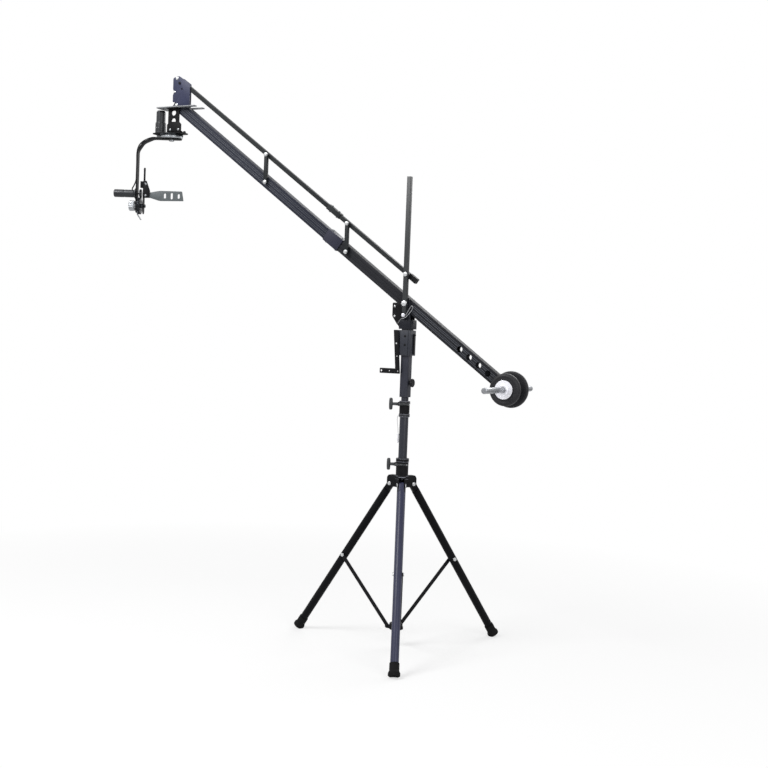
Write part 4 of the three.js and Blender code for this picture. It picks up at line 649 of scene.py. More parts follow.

# A spare pin hangs on the safety rope, and both get meshes of their own
sparePin = spun("z", [[1.8, 893], [3.4, 896], [3.4, 926], [4.6, 927], [4.6, 932]], (23.55, 0), 32)
cordPieces["sparePin"] = fit("sparePin", [sparePin], "chromePlate", "safety_lanyard", teeSide)
for name in ("safetyRope", "sparePin"):
    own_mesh(cordPieces[name])


# The stand's tube, its foot cap and its two collars
mainTube = {"radius": 19.05, "wall": 2.0, "bottom": 73, "top": 1050, "capHeight": 12, "plugHeight": 18,
            "bore": 19.35}
innerTube = {"radius": 15.875, "wall": 2.0, "bottom": 500, "top": 1190, "bore": 16.2}
upperCollar = {"bottom": 1007, "top": 1077, "radius": 22.3, "band": 24.0, "bandHeight": 14, "screwHeight": 1063,
               "bossRadius": 9, "bossStart": 18, "bossReach": 30, "screwHole": 4.4, "drillEnd": 40}
legHub = {"bottom": 735, "top": 827, "radius": 28.5, "band": 16, "bandDepth": 1.4, "skirt": 26.5, "earBottom": 700,
          "earTop": 751, "earNose": 66, "near": 11.3, "far": 16.3, "screwHeight": 800, "bossRadius": 9,
          "bossStart": 25, "bossReach": 34, "screwHole": 4.4, "drillEnd": 50}
teeKnob = {"reach": 60, "halfLength": 26, "radius": 8.5, "stem": 7.0, "neck": 5.8, "screw": 4.0}
# sizes of the light grey rings painted on the collars' edges as highlights
ringHighlightSize = {"proud": 0.25, "wall": 1.4, "height": 1.5}


def makeTubes():
    tube, inner = mainTube, innerTube
    put("main_tube", [pipe("z", tube["radius"], tube["wall"], tube["bottom"], tube["top"], sides=96)], "tubeCoat")
    seat, r = tube["bottom"] - gap, tube["radius"]
    low, plug, high = seat - tube["capHeight"], r - tube["wall"] - gap, seat + tube["plugHeight"]
    cap = [[r - 3, low], [r, low + 3], [r, seat], [plug, seat], [plug, high]]
    put("tube_foot_cap", [spun("z", cap, sides=64)], "mouldedNylon")
    put("inner_tube", [pipe("z", inner["radius"], inner["wall"], inner["bottom"], inner["top"], sides=80)],
        "postCoat")


def turnedCollar(c, profile):
    # a collar turned about the column, with the hole and the boss of its clamp screw
    level, hole = (0, c["screwHeight"]), c["screwHole"]
    body = drilled(lathe("z", profile, sides=96, ease=1.0, hollow=True), [bar("x", hole, 12, c["drillEnd"], level)])
    boss = pipe("x", c["bossRadius"], c["bossRadius"] - hole, c["bossStart"], c["bossReach"], level, 40)
    return [body, boss]


def highlightRings(radius, heights):
    # thin rings that stand proud of a collar, painted light grey as the highlights along its edges
    return [pipe("z", radius + ringHighlightSize["proud"], ringHighlightSize["wall"], at, at + ringHighlightSize["height"], sides=96)
            for at in heights]


def clampRidge(name, node, height, radius, reach):
    # the clamp's screw runs along a ridge across the near side and shows its bright end
    y = radius + 1.5
    ridge = [bar("x", 4.6, -19, 10, (y, height), 40, 1.4), bar("x", 5.6, 8, reach - 3, (y - 1, height), 40, 1.6)]
    fit(name, ridge, "postBlackCoat", node, teeSide)
    fit(name + "Tip", [bar("x", 3.0, -21.4, -17, (y, height), 32, 0.8)], "zincBolt", node, teeSide)


def makeUpperCollar():
    c, outer, inner, step = upperCollar, mainTube["bore"], innerTube["bore"], mainTube["top"] + gap
    low, high, r, band, h = c["bottom"], c["top"], c["radius"], c["band"], c["bandHeight"]
    profile = [[r, low], [r, high], [inner, high], [inner, step + 0.5], [outer, step], [outer, low]]
    put("upper_collar", turnedCollar(c, profile), "blackPowderCoat", teeSide)
    # the bands' lighter coat is a painted highlight; the body between them keeps its black
    bands = [lathe("z", [[r - 1, a], [band, a], [band, a + h], [r - 1, a + h]], sides=96, ease=1.2, hollow=True)
             for a in (low, high - h)]
    fit("collarBands", bands, "collarCoat", "upper_collar", teeSide)
    edges = highlightRings(band, (low + 0.8, low + h - 1.8, high - h + 0.5, high - 2.0))
    # painted highlight: light grey rings stand in for the light on the bands' edges
    fit("collarBandHighlights", edges, "paintedEdgeHighlight", "upper_collar", teeSide)
    clampRidge("collarRidge", "upper_collar", c["screwHeight"], r, c["bossReach"])


def makeTee(node, collar, tube):
    k, level = teeKnob, (0, collar["screwHeight"])
    seat, face, long, r = tube["radius"] + gap, collar["bossReach"] + gap, k["halfLength"], k["radius"]
    stem = [[k["screw"], seat], [k["screw"], face], [k["stem"], face], [k["stem"], face + 5.7],
            [k["neck"], k["reach"]]]
    barrel = [(0.62, -long), (0.86, 4 - long), (0.95, -long / 2), (1, 0), (0.95, long / 2), (0.86, long - 4),
              (0.62, long)]
    handle = [[r * share, level[1] + at] for share, at in barrel]
    put(node, [spun("x", stem, level, 40), spun("z", handle, (k["reach"], 0), 48, 2.0)], "mouldedGrip", teeSide)


def makeTees():
    makeTee("upper_t_knob", upperCollar, innerTube)
    makeTee("lower_t_knob", legHub, mainTube)


def makeLegHub():
    h, bore = legHub, mainTube["bore"]
    low, high, r, dip = h["bottom"], h["top"], h["radius"], h["bandDepth"]
    base, nosing = h["earBottom"], h["earNose"]
    a, b = low + h["band"], high - h["band"]
    profile = [[h["skirt"], base], [h["skirt"], low], [r, low], [r, a], [r - dip, a + 2], [r - dip, b - 2], [r, b],
               [r, high], [bore, high], [bore, base]]
    shells = [within(teeSide, shell) for shell in turnedCollar(h, profile)]
    ear = rounded([[20, base, 1], [nosing, base, 12], [nosing, 741, 5], [59, h["earTop"], 6], [20, h["earTop"], 1]])
    bolts = []
    for side in legSides:
        for out in (1, -1):
            near, far = out * h["near"], out * h["far"]
            shells.append(within(side, prism("xz", ear, *sorted((near, far)), 0.8)))
            bolts += [within(side, shell) for shell in boltHeads("y", [legPivot], far, out)]
        shells.append(within(side, block((19.5, 58.5), 16, (746, 751), 0.8)))
    put("leg_hub", shells, "blackPowderCoat")
    fit("legPivotBolts", bolts, "zincBolt", "leg_hub")
    # painted highlight: light grey rings and strips stand in for the light on the hub's rims and the ears' tops
    edges = highlightRings(r, (low + 1, a - 2, b + 0.5, high - 2.2))
    edges += [within(side, block((58.3, 59.6), 16, (746.6, 750.6), 0.3)) for side in legSides]
    fit("legHubRims", edges, "paintedEdgeHighlight", "leg_hub")
    clampRidge("legHubRidge", "leg_hub", h["screwHeight"], r - dip, h["bossReach"])


# Spreader hub, legs, boots and struts; the leg's frame has its pivot at zero and runs down z
spreader = {"height": 88, "halfHeight": 14, "radius": 29, "lugReach": 32, "lugRadius": 9, "near": 22.1, "far": 27.1}
leg = {"length": 841, "radius": 17.5, "fitting": 34, "fittingHalf": 11, "fittingRadius": 14, "strutBolt": 411.7,
       "inset": 15}
boot = {"cup": 20.5, "cupTop": 50, "tip": 25, "tipStart": -2.5, "tipHeight": 9, "flare": 18, "grooveDepth": 0.9}
strut = {"near": 17.8, "far": 21.8, "halfWidth": 8.5}


def makeSpreader():
    s, bore = spreader, mainTube["bore"]
    low, high = s["height"] - s["halfHeight"], s["height"] + s["halfHeight"]
    place = (s["lugReach"], s["height"])
    ring = [[s["radius"], low], [s["radius"], high], [bore, high], [bore, low]]
    lug = prism("xz", linkLoop((9, s["height"]), place, s["lugRadius"]), s["near"], s["far"], 0.6)
    shells = [lathe("z", ring, sides=96, ease=2, hollow=True)] + [within(side, lug) for side in legSides]
    put("spreader_hub", shells, "blackPowderCoat")
    bolts = [within(side, shell) for side in legSides for shell in boltHeads("y", [place], s["far"], 1)]
    fit("spreaderBolts", bolts, "blackPlate", "spreader_hub")


def makeLeg(i):
    end, r, neck, b, tube = leg["inset"] - leg["length"], leg["radius"], -leg["fitting"], boot, legTubes[i]
    wall = [[r, end], [r, neck - 1], [r - 2.5, neck], [r - 4, neck], [r - 4, neck - 6], [r - 2, neck - 8],
            [r - 2, end]]
    plug = [[r - 3.6, neck - 8], [r - 3.6, neck]]
    tongue = prism("xz", linkLoop((0, 0), (0, neck - 14), leg["fittingRadius"]), -leg["fittingHalf"],
                   leg["fittingHalf"], 1.5)
    # the front leg's lighter coat is painted light
    put(f"leg_{i + 1}", [lathe("z", wall, sides=80, ease=0.6, hollow=True), spun("z", plug), tongue],
        "legBlueCoat" if i == 0 else "legBlackCoat", tube)
    place = [(0, -leg["strutBolt"])]
    bolts = boltHeads("y", place, strut["far"] + gap, 1)
    bolts += boltHeads("y", place, 0.6 - r, -1, height=4, washer=2.4)
    fit(f"leg{i + 1}StrutBolt", bolts, "zincBolt", f"leg_{i + 1}", tube)
    start, tip, cup, flare, top = b["tipStart"], b["tip"], b["cup"], b["flare"], b["cupTop"]
    dip = tip - b["grooveDepth"]
    sole = [[tip - 1.5, start], [tip, start + 1.5], [tip, 1], [dip, 2], [tip, 3], [tip, 5], [dip, 6], [tip, 7],
            [tip, b["tipHeight"]], [cup + 1.6, flare - 3], [cup, flare + 1], [cup, 45], [cup - 0.7, 46], [cup, 47],
            [cup - 0.3, top], [r + 0.4, top], [r + 0.4, leg["inset"] - gap]]
    points, faces = within(tube, spun("z", [[radius, at - leg["length"]] for radius, at in sole], sides=72))
    # rubber that would reach below the floor is pressed flat on it
    points[:, 2] = np.maximum(points[:, 2], 0.0)
    put(f"foot_{i + 1}", [(points, faces)], "mouldedRubber")
    high = (legPivot[0] + leg["strutBolt"] * math.sin(legSlope),
            legPivot[1] - leg["strutBolt"] * math.cos(legSlope))
    loop = linkLoop(high, (spreader["lugReach"], spreader["height"]), strut["halfWidth"])
    flat = drilled(prism("xz", loop, strut["near"], strut["far"], 0.7), [bar("y", 4.4, 10, 30, high)])
    put(f"strut_{i + 1}", [flat], "blackPowderCoat", legSides[i])


def makeLegs():
    for i in range(len(legSides)):
        makeLeg(i)


# The riser's square post, clamp knob, sleeve, bracket and lever
post = {"half": 19, "wall": 2.8, "corner": 4, "bottom": 1094, "top": 1378, "screwHeight": 1157}
clampKnob = {"collar": 9, "radius": 18.5, "thickness": 10, "flutes": 12, "dip": 1.4}
sleeve = {"half": 28.5, "corner": 4, "bottom": 1275, "top": 1385, "spigotRadius": 26, "spigotTop": 1389.2,
          "lugReach": 15, "lugThickness": 12, "lugHeight": 84, "seam": (17, 19.5), "seamDepth": 2.0,
          "screws": ((3, 1359), (3, 1320.6))}
bracket = {"left": -35, "right": -14, "lean": 15.5, "top": 1385, "bottom": 1195, "armTop": 1217.5, "armReach": -112,
           "near": -33.8, "far": -28.8, "boltHeight": 1326.2}
lockLever = {"place": 5, "hinge": 1365, "length": 79, "radius": 5.5, "near": 28.8, "far": 33.8}


def makeRiser():
    half, level = post["half"], (0, post["screwHeight"])
    tube = prism("xy", boxLoop(half, half, post["corner"]), post["bottom"], post["top"], 0.6, post["wall"])
    put("square_post", [drilled(tube, [bar("x", 4.4, 10, 30, level)])], "postCoat")
    k, seat = clampKnob, half + gap
    face, r = seat + k["collar"], k["radius"]
    end = face + k["thickness"]
    grip = [[pole, face], [r - 1.5, face], [r, face + 1.5], [r, end - 2], [r - 3, end], [9, end - 0.6],
            [pole, end - 1.6]]
    put("clamp_knob", [bar("x", 4, 16.2, seat + 2, level), spun("x", [[9, seat], [8, face - 2], [8, face]], level),
                       lathe("x", grip, level, 96, 1.0, flutes(k["flutes"], k["dip"]))], "mouldedNylon")


def makeSleeve():
    s, half, low, high = sleeve, sleeve["half"], sleeve["bottom"], sleeve["top"]
    body = prism("xy", boxLoop(half, half, s["corner"]), low, high, 0.9)
    bore = prism("xy", boxLoop(post["half"] + gap, post["half"] + gap, post["corner"]), low - 6, post["top"] + gap,
                 0)
    seam = block(s["seam"], (-half - 6, s["seamDepth"] - half), (low - 6, high + 6), 0.1)
    lug = block((-half - s["lugReach"], -20), (-half, s["lugThickness"] - half), (high - s["lugHeight"], high), 1.0)
    spigot = spun("z", [[s["spigotRadius"], high - 4], [s["spigotRadius"], s["spigotTop"]]], sides=96)
    put("sleeve", [drilled(body, [bore, seam]), lug, spigot], "sleeveCoat")
    fit("sleeveScrews", [button("y", place, -half, -1, 5.4, 1.4) for place in s["screws"]], "blackPlate", "sleeve")


def makeBracket():
    b, lean = bracket, bracket["lean"]
    left, right, top, bottom = b["left"], b["right"], b["top"], b["bottom"]
    reach, bend = b["armReach"], b["armTop"]
    middle, low = (left + right) / 2, (bottom + bend) / 2
    loop = rounded([[reach, bottom, 4], [right, bottom, 4], [right - lean, top, 4], [left - lean, top, 4],
                    [left - 1.8, bend, 2], [reach, bend, 4]])

    def limbAt(z):
        # the limb's middle moves with its lean as the height grows
        return middle - lean * (z - bottom) / (top - bottom), z
    places = [(limbAt(1271), 2.8), ((middle, low), 2.8), ((-65, low), 2.8), ((-104.4, low), 4.6)]
    holes = [bar("y", size, b["near"] - 5, b["far"] + 5, place) for place, size in places]
    put("l_bracket", [drilled(prism("xz", loop, b["near"], b["far"], 0.6), holes)], "blackPlate")
    fit("bracketBolt", boltHeads("y", [limbAt(b["boltHeight"])], b["near"], -1, 6.0, 1.6, 0.5), "zincBolt",
        "l_bracket")


def makeLever():
    v = lockLever
    hinge, end = (v["place"], v["hinge"]), (v["place"], v["hinge"] - v["length"])
    lever = prism("yz", linkLoop(hinge, end, v["radius"]), v["near"], v["far"], 1.4)
    put("pan_lock_lever", [lever, bar("x", 4, v["far"] - 1, v["far"] + 4, hinge)], "mouldedNylon")


# The yoke's small fittings, the upright, and the bolts and pins through it
fulcrumBolt = {"near": -44.6, "far": 25.3, "radius": 8, "head": 12.5}
upright = {"half": 9.5, "middle": -34.8, "wall": 2, "bottom": 1436, "top": 2045,
           "holes": ((8.3, 1500), (4.3, 1449), (5.3, 1625.7))}
quickPin = {"drop": 51, "radius": 4, "knob": 8, "height": 12, "ring": 5.5, "end": -19.5, "hoop": 5.0, "wire": 0.9}
rodRise = 125.7  # the rod's pivots stand this far above the beam's
rodPivot = 5  # radius of its bolt


def makeYokeFittings():
    softened("yoke", "yokeCoat", 1.0)
    softened("lock_plate", "blackPlate", 0.6)
    heads = boltHeads("y", [(-50, 1487.4), (-50, 1444.4)], -31.3, -1, 8, 2.0, 0.8)
    fit("yokeBolts", heads + boltHeads("x", [(-8, 1418)], 29, 1, 7, 1.6, 0.5), "zincBolt", "yoke")


def makeFulcrum():
    f, level = fulcrumBolt, (0, fulcrumHeight)
    near, far, r = f["near"], f["far"], f["head"]
    back = [[r, far], [r, far + 2], [10.5, far + 2.4], [10.5, far + 8], [9, far + 9]]
    put("fulcrum_bolt", [spun("y", [[r, near], [r, near - 2.2]], level, 64),
                         prism("xz", hexLoop(level, 20.5, 0.2), near - 7.4, near - 2.2, 0.9),
                         button("y", level, near - 7.2, -1, 7.5, 1.8), bar("y", f["radius"], near, far, level, 48),
                         spun("y", back, level, 6, 0), spun("y", back[:2], level)], "brightZinc")
    q, height = quickPin, fulcrumHeight - quickPin["drop"]
    top, ring, knob, pin = near - q["height"], q["ring"], q["knob"], q["radius"]
    profile = [[pole, top], [ring, top], [ring, near - 6.4], [knob, near - 6], [knob, near], [pin, near],
               [pin, q["end"] - 4], [pole, q["end"]]]
    turn = np.linspace(0, 2 * math.pi, 40)
    hoop = np.stack([q["hoop"] * np.sin(turn), near - 10 + 0 * turn, height + q["hoop"] * np.cos(turn)], -1)
    put("quick_release_pin", [lathe("y", profile, (0, height), 48, 0.8), hose(hoop, q["wire"], 10, (0, 1, 0.05))],
        "chromePlate")
    p, level = rodPivot, (0, fulcrumHeight + rodRise)
    spine = [[p, -45], [p, -25], [9, -25], [9, -19.3], [p, -19.3], [p, gap], [10, gap], [10, 1.6], [p, 1.6], [p, 3]]
    heads = boltHeads("y", [level], near, -1, 15.5, 3.8, 1.2) + boltHeads("y", [level], gap, 1, 15.5, 3.5, 1.2)
    put("rod_pivot_bolt", [spun("y", spine, level, 48, 0.3), *heads], "brightZinc")


def makeUpright():
    u, half, middle, top = upright, upright["half"], upright["middle"], upright["top"]
    tube = prism("xy", boxLoop(half, (middle - half, middle + half), 1.8), u["bottom"], top, 0.5, u["wall"])
    holes = [bar("y", r, middle - 20, middle + 20, (0, z)) for r, z in u["holes"]]
    put("upright_handle", [drilled(tube, holes)], "postBlackCoat")
    inside = half - u["wall"] - 0.1
    plug = prism("xy", boxLoop(inside, (middle - inside, middle + inside), 1.2), top - 9, top - 1.2, 0.8)
    fit("uprightPlug", [plug], "mouldedNylon", "upright_handle")


# The boom's lengths, in a frame that lies along it
beam = {"half": 19, "halfHeight": 25.1, "wall": 3, "groove": 1.2, "grooveHalf": 9, "front": (-1584.5, -470.15),
        "rear": (-469.85, 622)}
beamSplice = {"place": -470, "halfLength": 45, "wall": 3.4, "boltSpread": 31, "boltSide": -6}
rod = {"width": 19, "wall": 2, "lift": 101.66, "shift": -73.93, "front": (-1646.93, -545.15),
       "rear": (-544.85, -23.93), "splice": (-585, -505), "shell": 2.6, "spliceBolts": (-567, -523)}
link = {"places": (-918.1, -376.6), "half": 8, "near": -35.3, "far": -19.3}
lightHoles = {"radius": 13.2, "first": 319.5, "pitch": 54.9, "count": 4}
beamCap = {"half": 15.6, "halfHeight": 21.8, "thickness": 5, "inset": 0.6}
lip = {"heights": (-12.4, -5.6, 5.6, 12.4), "half": 1.0, "out": 19.02, "thick": 0.12, "hole": 13.4}
boltHole, fulcrumHole = 5.3, 8.3


def beamLoop():
    # a box with two shallow grooves along each side; the second half repeats the first, turned half round
    half, high, g, at = beam["half"], beam["halfHeight"], beam["groove"], beam["grooveHalf"]
    step, low = g * 0.6, half - g
    side = [[half, -at - 3 * step], [low, -at - 2 * step], [low, 2 * step - at], [half, 3 * step - at],
            [half, at - 3 * step], [low, at - 2 * step], [low, at + 2 * step], [half, at + 3 * step]]
    side = [[half, -high, 1.2], *[[*corner, 0.3] for corner in side], [half, high, 1.2]]
    return rounded(side + [[-y, -z, r] for y, z, r in side], 3)


def through(radius, x, far=30, z=0, sides=48):
    return bar("y", radius, -30, far, (x, z), sides)


def section(outer, inner, ends, ease, holes=()):
    # a tube along the boom: its outer loop less the bore, which runs past both ends, and its holes
    start, end = ends
    bore = prism("yz", inner, start - 5, end + 5, 0)
    return drilled(prism("yz", outer, start, end, ease), [bore, *holes])


def lightCuts(radius):
    return [through(radius, lightHoles["first"] + i * lightHoles["pitch"]) for i in range(lightHoles["count"])]


def makeBeams():
    half, high, loop = beam["half"], beam["halfHeight"], beamLoop()
    inner = boxLoop(half - beam["wall"], high - beam["wall"], 1)
    cuts = {"front": [through(boltHole, -noseReach), through(boltHole, link["places"][0])],
            "rear": [through(boltHole, link["places"][1]), through(fulcrumHole, 0),
                     through(12.8, weightBar["place"]), *lightCuts(lightHoles["radius"])]}
    for name, finish in (("front", "slateAnodised"), ("rear", "blackAnodised")):
        put(name + "_beam", [section(loop, inner, beam[name], 0.25, cuts[name])], finish, boom)
    start, end = beam["front"][0] + beamCap["inset"], beam["rear"][1] - beamCap["inset"]
    loop, thick = boxLoop(beamCap["half"], beamCap["halfHeight"], 2), beamCap["thickness"]
    caps = [prism("yz", loop, end - thick, end, 0.8), prism("yz", loop, start, start + thick, 0.8)]
    fit("beamCaps", caps, "mouldedNylon", "rear_beam", boom)
    s, wide, tall = beamSplice, half + gap, high + gap
    ends, wall = (s["place"] - s["halfLength"], s["place"] + s["halfLength"]), s["wall"]
    box = section(boxLoop(wide + wall, tall + wall, 2.2), boxLoop(wide, tall, 1.4), ends, 0.7)
    put("beam_splice", [box], "spliceAnodised", boom)
    places = [(s["place"] + along * s["boltSpread"], s["boltSide"]) for along in (-1, 1)]
    heads = [shell for up in (-1, 1) for shell in boltHeads("z", places, up * (tall + wall), up, 7, 4.6, 0.8)]
    fit("spliceBolts", heads, "dullSteel", "beam_splice", boom)
    makeLipHighlights()


def makeLipHighlights():
    # painted highlights: thin light strips on the lips of the grooves stand in for the light they catch as thin
    # lines
    first, last = beam["front"][0] + 2, beam["rear"][1] - 2
    lipHighlights = []
    for start, end, side in ((first, -516, -1), (first, -516, 1), (-424, last, 1), (36, last, -1)):
        y = (side * lip["out"] - lip["thick"], side * lip["out"] + lip["thick"])
        strips = [block((start, end), y, (z - lip["half"], z + lip["half"]), 0.1) for z in lip["heights"]]
        lipHighlights += [drilled(strip, lightCuts(lip["hole"])) for strip in strips] if end > 0 else strips
    fit("grooveLipHighlights", lipHighlights, "paintedLipHighlight", "front_beam", boom)


def rodLoop(grow, radius):
    # the rod's square section, grown by so much on every side
    half = rod["width"] / 2 + grow
    return boxLoop((-rod["width"] - grow, grow), (rod["lift"] - half, rod["lift"] + half), radius)


def makeRods():
    lift, half = rod["lift"], rod["width"] / 2
    holes = [through(boltHole, x + rod["shift"], 12, lift, 32) for x in (-noseReach, *link["places"], 0)]
    tubes = [section(rodLoop(0, 1.4), rodLoop(-rod["wall"], 0.6), rod[name], 0.5, cuts)
             for name, cuts in (("front", holes[:2]), ("rear", holes[2:]))]
    box = section(rodLoop(rod["shell"], 1.6), rodLoop(gap, 1), rod["splice"], 0.6)
    put("rod_front", [tubes[0], box], "rodAnodised", boom)
    put("rod_rear", [tubes[1]], "rodAnodised", boom)
    places, seat = [(x, -half) for x in rod["spliceBolts"]], half + rod["shell"]
    shut = [shell for up in (-1, 1) for shell in boltHeads("z", places, lift + up * seat, up, 6, 4.4, 0.7)]
    fit("rodSpliceBolts", shut, "dullSteel", "rod_front", boom)
    tail, start = rod["rear"][1], rod["front"][0]
    plug = rodLoop(-2.2, 1)
    outer = prism("yz", rodLoop(2.4, 3), tail - 42, tail + 1, 1.0)
    plugs = [prism("yz", plug, tail - 12, tail - 0.6, 0.6), prism("yz", plug, start + 0.6, start + 8, 0.6),
             drilled(outer, [prism("yz", rodLoop(0.2, 1.4), tail - 48, tail - 1, 0)])]
    fit("rodPlugs", plugs, "mouldedNylon", "rod_front", boom)
    for i, place in enumerate(link["places"]):
        low = (place * math.cos(slope), fulcrumHeight - place * math.sin(slope))
        high = (low[0], low[1] + rodRise)
        put(f"link_{i + 1}", [prism("xz", linkLoop(low, high, link["half"]), link["near"], link["far"], 1.2)],
            "rodAnodised")
        heads = boltHeads("y", [low, high], link["near"], -1, 15, 3.8, 1.2)
        heads += boltHeads("y", [low], beam["half"] + gap, 1, 15, 3.8, 1.2)
        heads += boltHeads("y", [high], gap, 1, 15, 3.8, 1.2)
        fit(f"link{i + 1}Bolts", heads, "zincBolt", f"link_{i + 1}")


# Weights on their bar, which crosses the beam
weightBar = {"place": 592, "radius": 12.5, "half": 261, "grooves": (62, 66, 70, 74), "grooveDepth": 0.7,
             "pinHole": 3.0, "pinPlace": 249}
weights = {"near": 68.5, "far": 77.5, "start": 22.5, "end": 49.5, "bore": 12.9, "hub": 25, "dish": 1.2}


def disc(radius, sign):
    w = weights
    s, e, d = w["start"], w["end"], w["dish"]
    rows = [[w["bore"], s], [radius - 6, s], [radius - 1.6, s + 1.8], [radius, s + 6], [radius, e - 12],
            [radius - 2.4, e - 6], [radius - 7, e - 1.4], [radius - 12, e], [radius - 18, e - d],
            [w["hub"] + 5, e - d], [w["hub"], e], [w["bore"], e]]
    return lathe("y", [[r, sign * at] for r, at in rows], (weightBar["place"], 0), 128, 3, hollow=True)


def makeWeights():
    b, centre, bore = weightBar, (weightBar["place"], 0), weights["bore"]
    half, r, dip = b["half"], b["radius"], b["grooveDepth"]
    rows = [[r - 2, -half], [r, 2 - half]]
    for at in sorted(-groove for groove in b["grooves"]):
        rows += [[r, at - 1.2], [r - dip, at - 0.5], [r - dip, at + 0.5], [r, at + 1.2]]
    turned = spun("y", rows + [[r, half - 2], [r - 2, half]], centre, 64, 0.3)
    cross = [bar("z", b["pinHole"], -20, 20, (b["place"], sign * b["pinPlace"])) for sign in (-1, 1)]
    put("weight_bar", [drilled(turned, cross)], "groundSteel", boom)
    put("near_weight", [disc(weights["near"], -1)], "castEnamel", boom)
    hub = [[bore, 48], [20, 48], [20, 60.5], [19, 61.5], [bore, 61.5]]
    put("far_weight", [disc(weights["far"], 1), lathe("y", hub, centre, 64, 0.5, hollow=True)], "castEnamel", boom)
    plate = [[bore, -49.8], [39.5, -49.8], [39.5, -54.8], [20, -54.8], [20, -66.8], [bore, -66.8]]
    put("near_collar", [lathe("y", plate, centre, 128, 0.8, hollow=True)], "chromePlate", boom)


# The front, measured from its lower pivot
plates = {"near": (-25.2, -20.5), "far": (20.5, 25.2), "nearEdge": (75, 97, 10, 137), "farEdge": (48, 104, 4, 134),
          "hole": 5.4, "holes": ((15, 103), (28, 75)), "edgeBolts": ((-13, 63),)}
hanger = {"web": (-47, 17), "foot": (-49, 33), "near": -26, "far": -20.5, "hole": 13,
          "holes": ((-14.5, -36), (-14.5, -74.5)), "top": -13.0, "bottom": -127.1, "footHeight": 48, "chamfer": 13,
          "bolts": (-29, 18), "boltRise": 10}
panMotor = {"place": -109.8, "bottom": -127.1, "top": -17.7, "radius": 26, "waist": 22, "gearcase": 52}


def plateLoop(edge):
    right, rightTop, apexX, apexZ = edge
    return rounded([[-5, -7.4], [right, -7.4, 4], [right, rightTop, 4], [apexX, apexZ, 4], [-24, 130, 8],
                    [-24, 77, 4], [-17, 64, 4], [-24, 48, 4], [-24, 16, 4], [-5, 12, 1]])


def makePlates():
    for side in ("near", "far"):
        start, end = plates[side]
        holes = [bar("y", plates["hole"], start - 5, end + 5, place) for place in plates["holes"]]
        sheet = prism("xz", plateLoop(plates[side + "Edge"]), start, end, 0.6)
        put("front_plate_" + side, [drilled(sheet, holes)], "plateAnodised", front)
    (near, inner), far = plates["near"], plates["far"][1]
    pivots, apex = [(0, 0), (0, rodRise)], plates["holes"][0]
    heads = boltHeads("y", pivots, near, -1, 12.5, 3.4, 1.1) + boltHeads("y", pivots, far, 1, 12.5, 3.4, 1.1)
    heads += boltHeads("y", plates["edgeBolts"], near, -1, 9, 2.0, 0.6)
    fit("plateBolts", heads + [bar("y", 7, gap, 20.2, pivots[1])], "zincBolt", "front_plate_near", front)
    dark = boltHeads("y", [apex], near, -1, 11, 3.0, 0.8) + [bar("y", 5.1, near, inner, apex)]
    fit("apexBolt", dark, "blackPlate", "front_plate_near", front)


def makeHanger():
    h, p = hanger, basePlate
    top, bottom, near, far, (a, b), c = h["top"], h["bottom"], h["near"], h["far"], h["foot"], h["chamfer"]
    rise = bottom + h["footHeight"]
    holes = [bar("y", h["hole"], near - 8, far + 8, place, 64) for place in h["holes"]]
    loop = rounded([[a, bottom, 1], [b, bottom, 1], [b, rise - c, 1.5], [b - c, rise, 1.5], [a + c, rise, 1.5],
                    [a, rise - c, 1.5]])
    put("hanger", [drilled(prism("xz", boxLoop(h["web"], (bottom, top), 1), near, far, 0.5), holes),
                   prism("xz", loop, near - 5, near + 0.2, 0.6),
                   block(h["web"], (near - 18, far), (top - 4, top), 0.8),
                   block(h["foot"], (near - 5, near + 11), (bottom, bottom + 4), 0.8)], "blackPlate", front)
    places = [(x, bottom + h["boltRise"]) for x in h["bolts"]]
    fit("hangerBolts", boltHeads("y", places, near - 5, -1, 9.5, 1.8, 0.6), "dullSteel", "hanger", front)
    low, high, edge = p["bottom"], p["top"], p["box"][1]
    slab = prism("xy", boxLoop(p["box"], p["half"], p["corner"]), low, high, 0.7)
    drills = [bar("z", 8.6, low - 5, high + 5, (p["shaft"], 0), 48),
              bar("z", 3.5, low - 5, high + 5, (p["pinion"], 0)),
              bar("x", 2.6, edge - 12, edge + 5, (-10, (low + high) / 2))]
    put("base_plate", [drilled(slab, drills)], "blackPlate", front)
    # the platform's light grey is painted light
    softened("platform", "paintedLightPlate", 0.9)


def makePanDrive():
    m, centre = panMotor, (panMotor["place"], 0)
    low, high, r, waist, x = m["bottom"], m["top"], m["radius"], m["waist"], m["place"]
    joint = low + m["gearcase"]
    case = [[r - 0.8, low], [r, low + 1.5], [r, low + 8], [r - 0.7, low + 9], [r - 0.7, low + 10], [r, low + 11],
            [r - 0.6, joint - 1], [r - 1.6, joint], [waist + 0.4, joint + 0.4], [waist, joint + 3],
            [waist, high - 8], [waist - 1.2, high - 5], [waist - 4.6, high]]
    tab = block((x - 26, x - 18), 5, (low + 32, low + 42), 1.0)
    put("pan_motor", [spun("z", case, centre, 80, 0.7), tab], "motorCase", front)
    screws = [bar("y", 2.2, -r - 0.2, -r + 3, (x + side, low + 26)) for side in (-5, 5)]
    fit("panMotorScrews", screws, "dullSteel", "pan_motor", front)
    under, over, edge = basePlate["bottom"] - gap, basePlate["top"], basePlate["box"][1]
    gear = prism("xy", gearLoop(16, 0, centre, True), under - basePlate["gearHeight"], under, 0.3)
    put("pan_pinion", [gear, bar("z", 3, under - 2, over, centre)], "dullSteel", front)
    screw = [[2.2, edge - 11.7], [2.2, edge + gap], [5, edge + gap], [5, edge + 3.4], [8, edge + 3.8],
             [8, edge + 11]]
    level = (-10, (basePlate["bottom"] + over) / 2)
    put("thumb_screw", [spun("x", screw, level, 72, 0.5, flutes(18, 0.7))], "mouldedNylon", front)


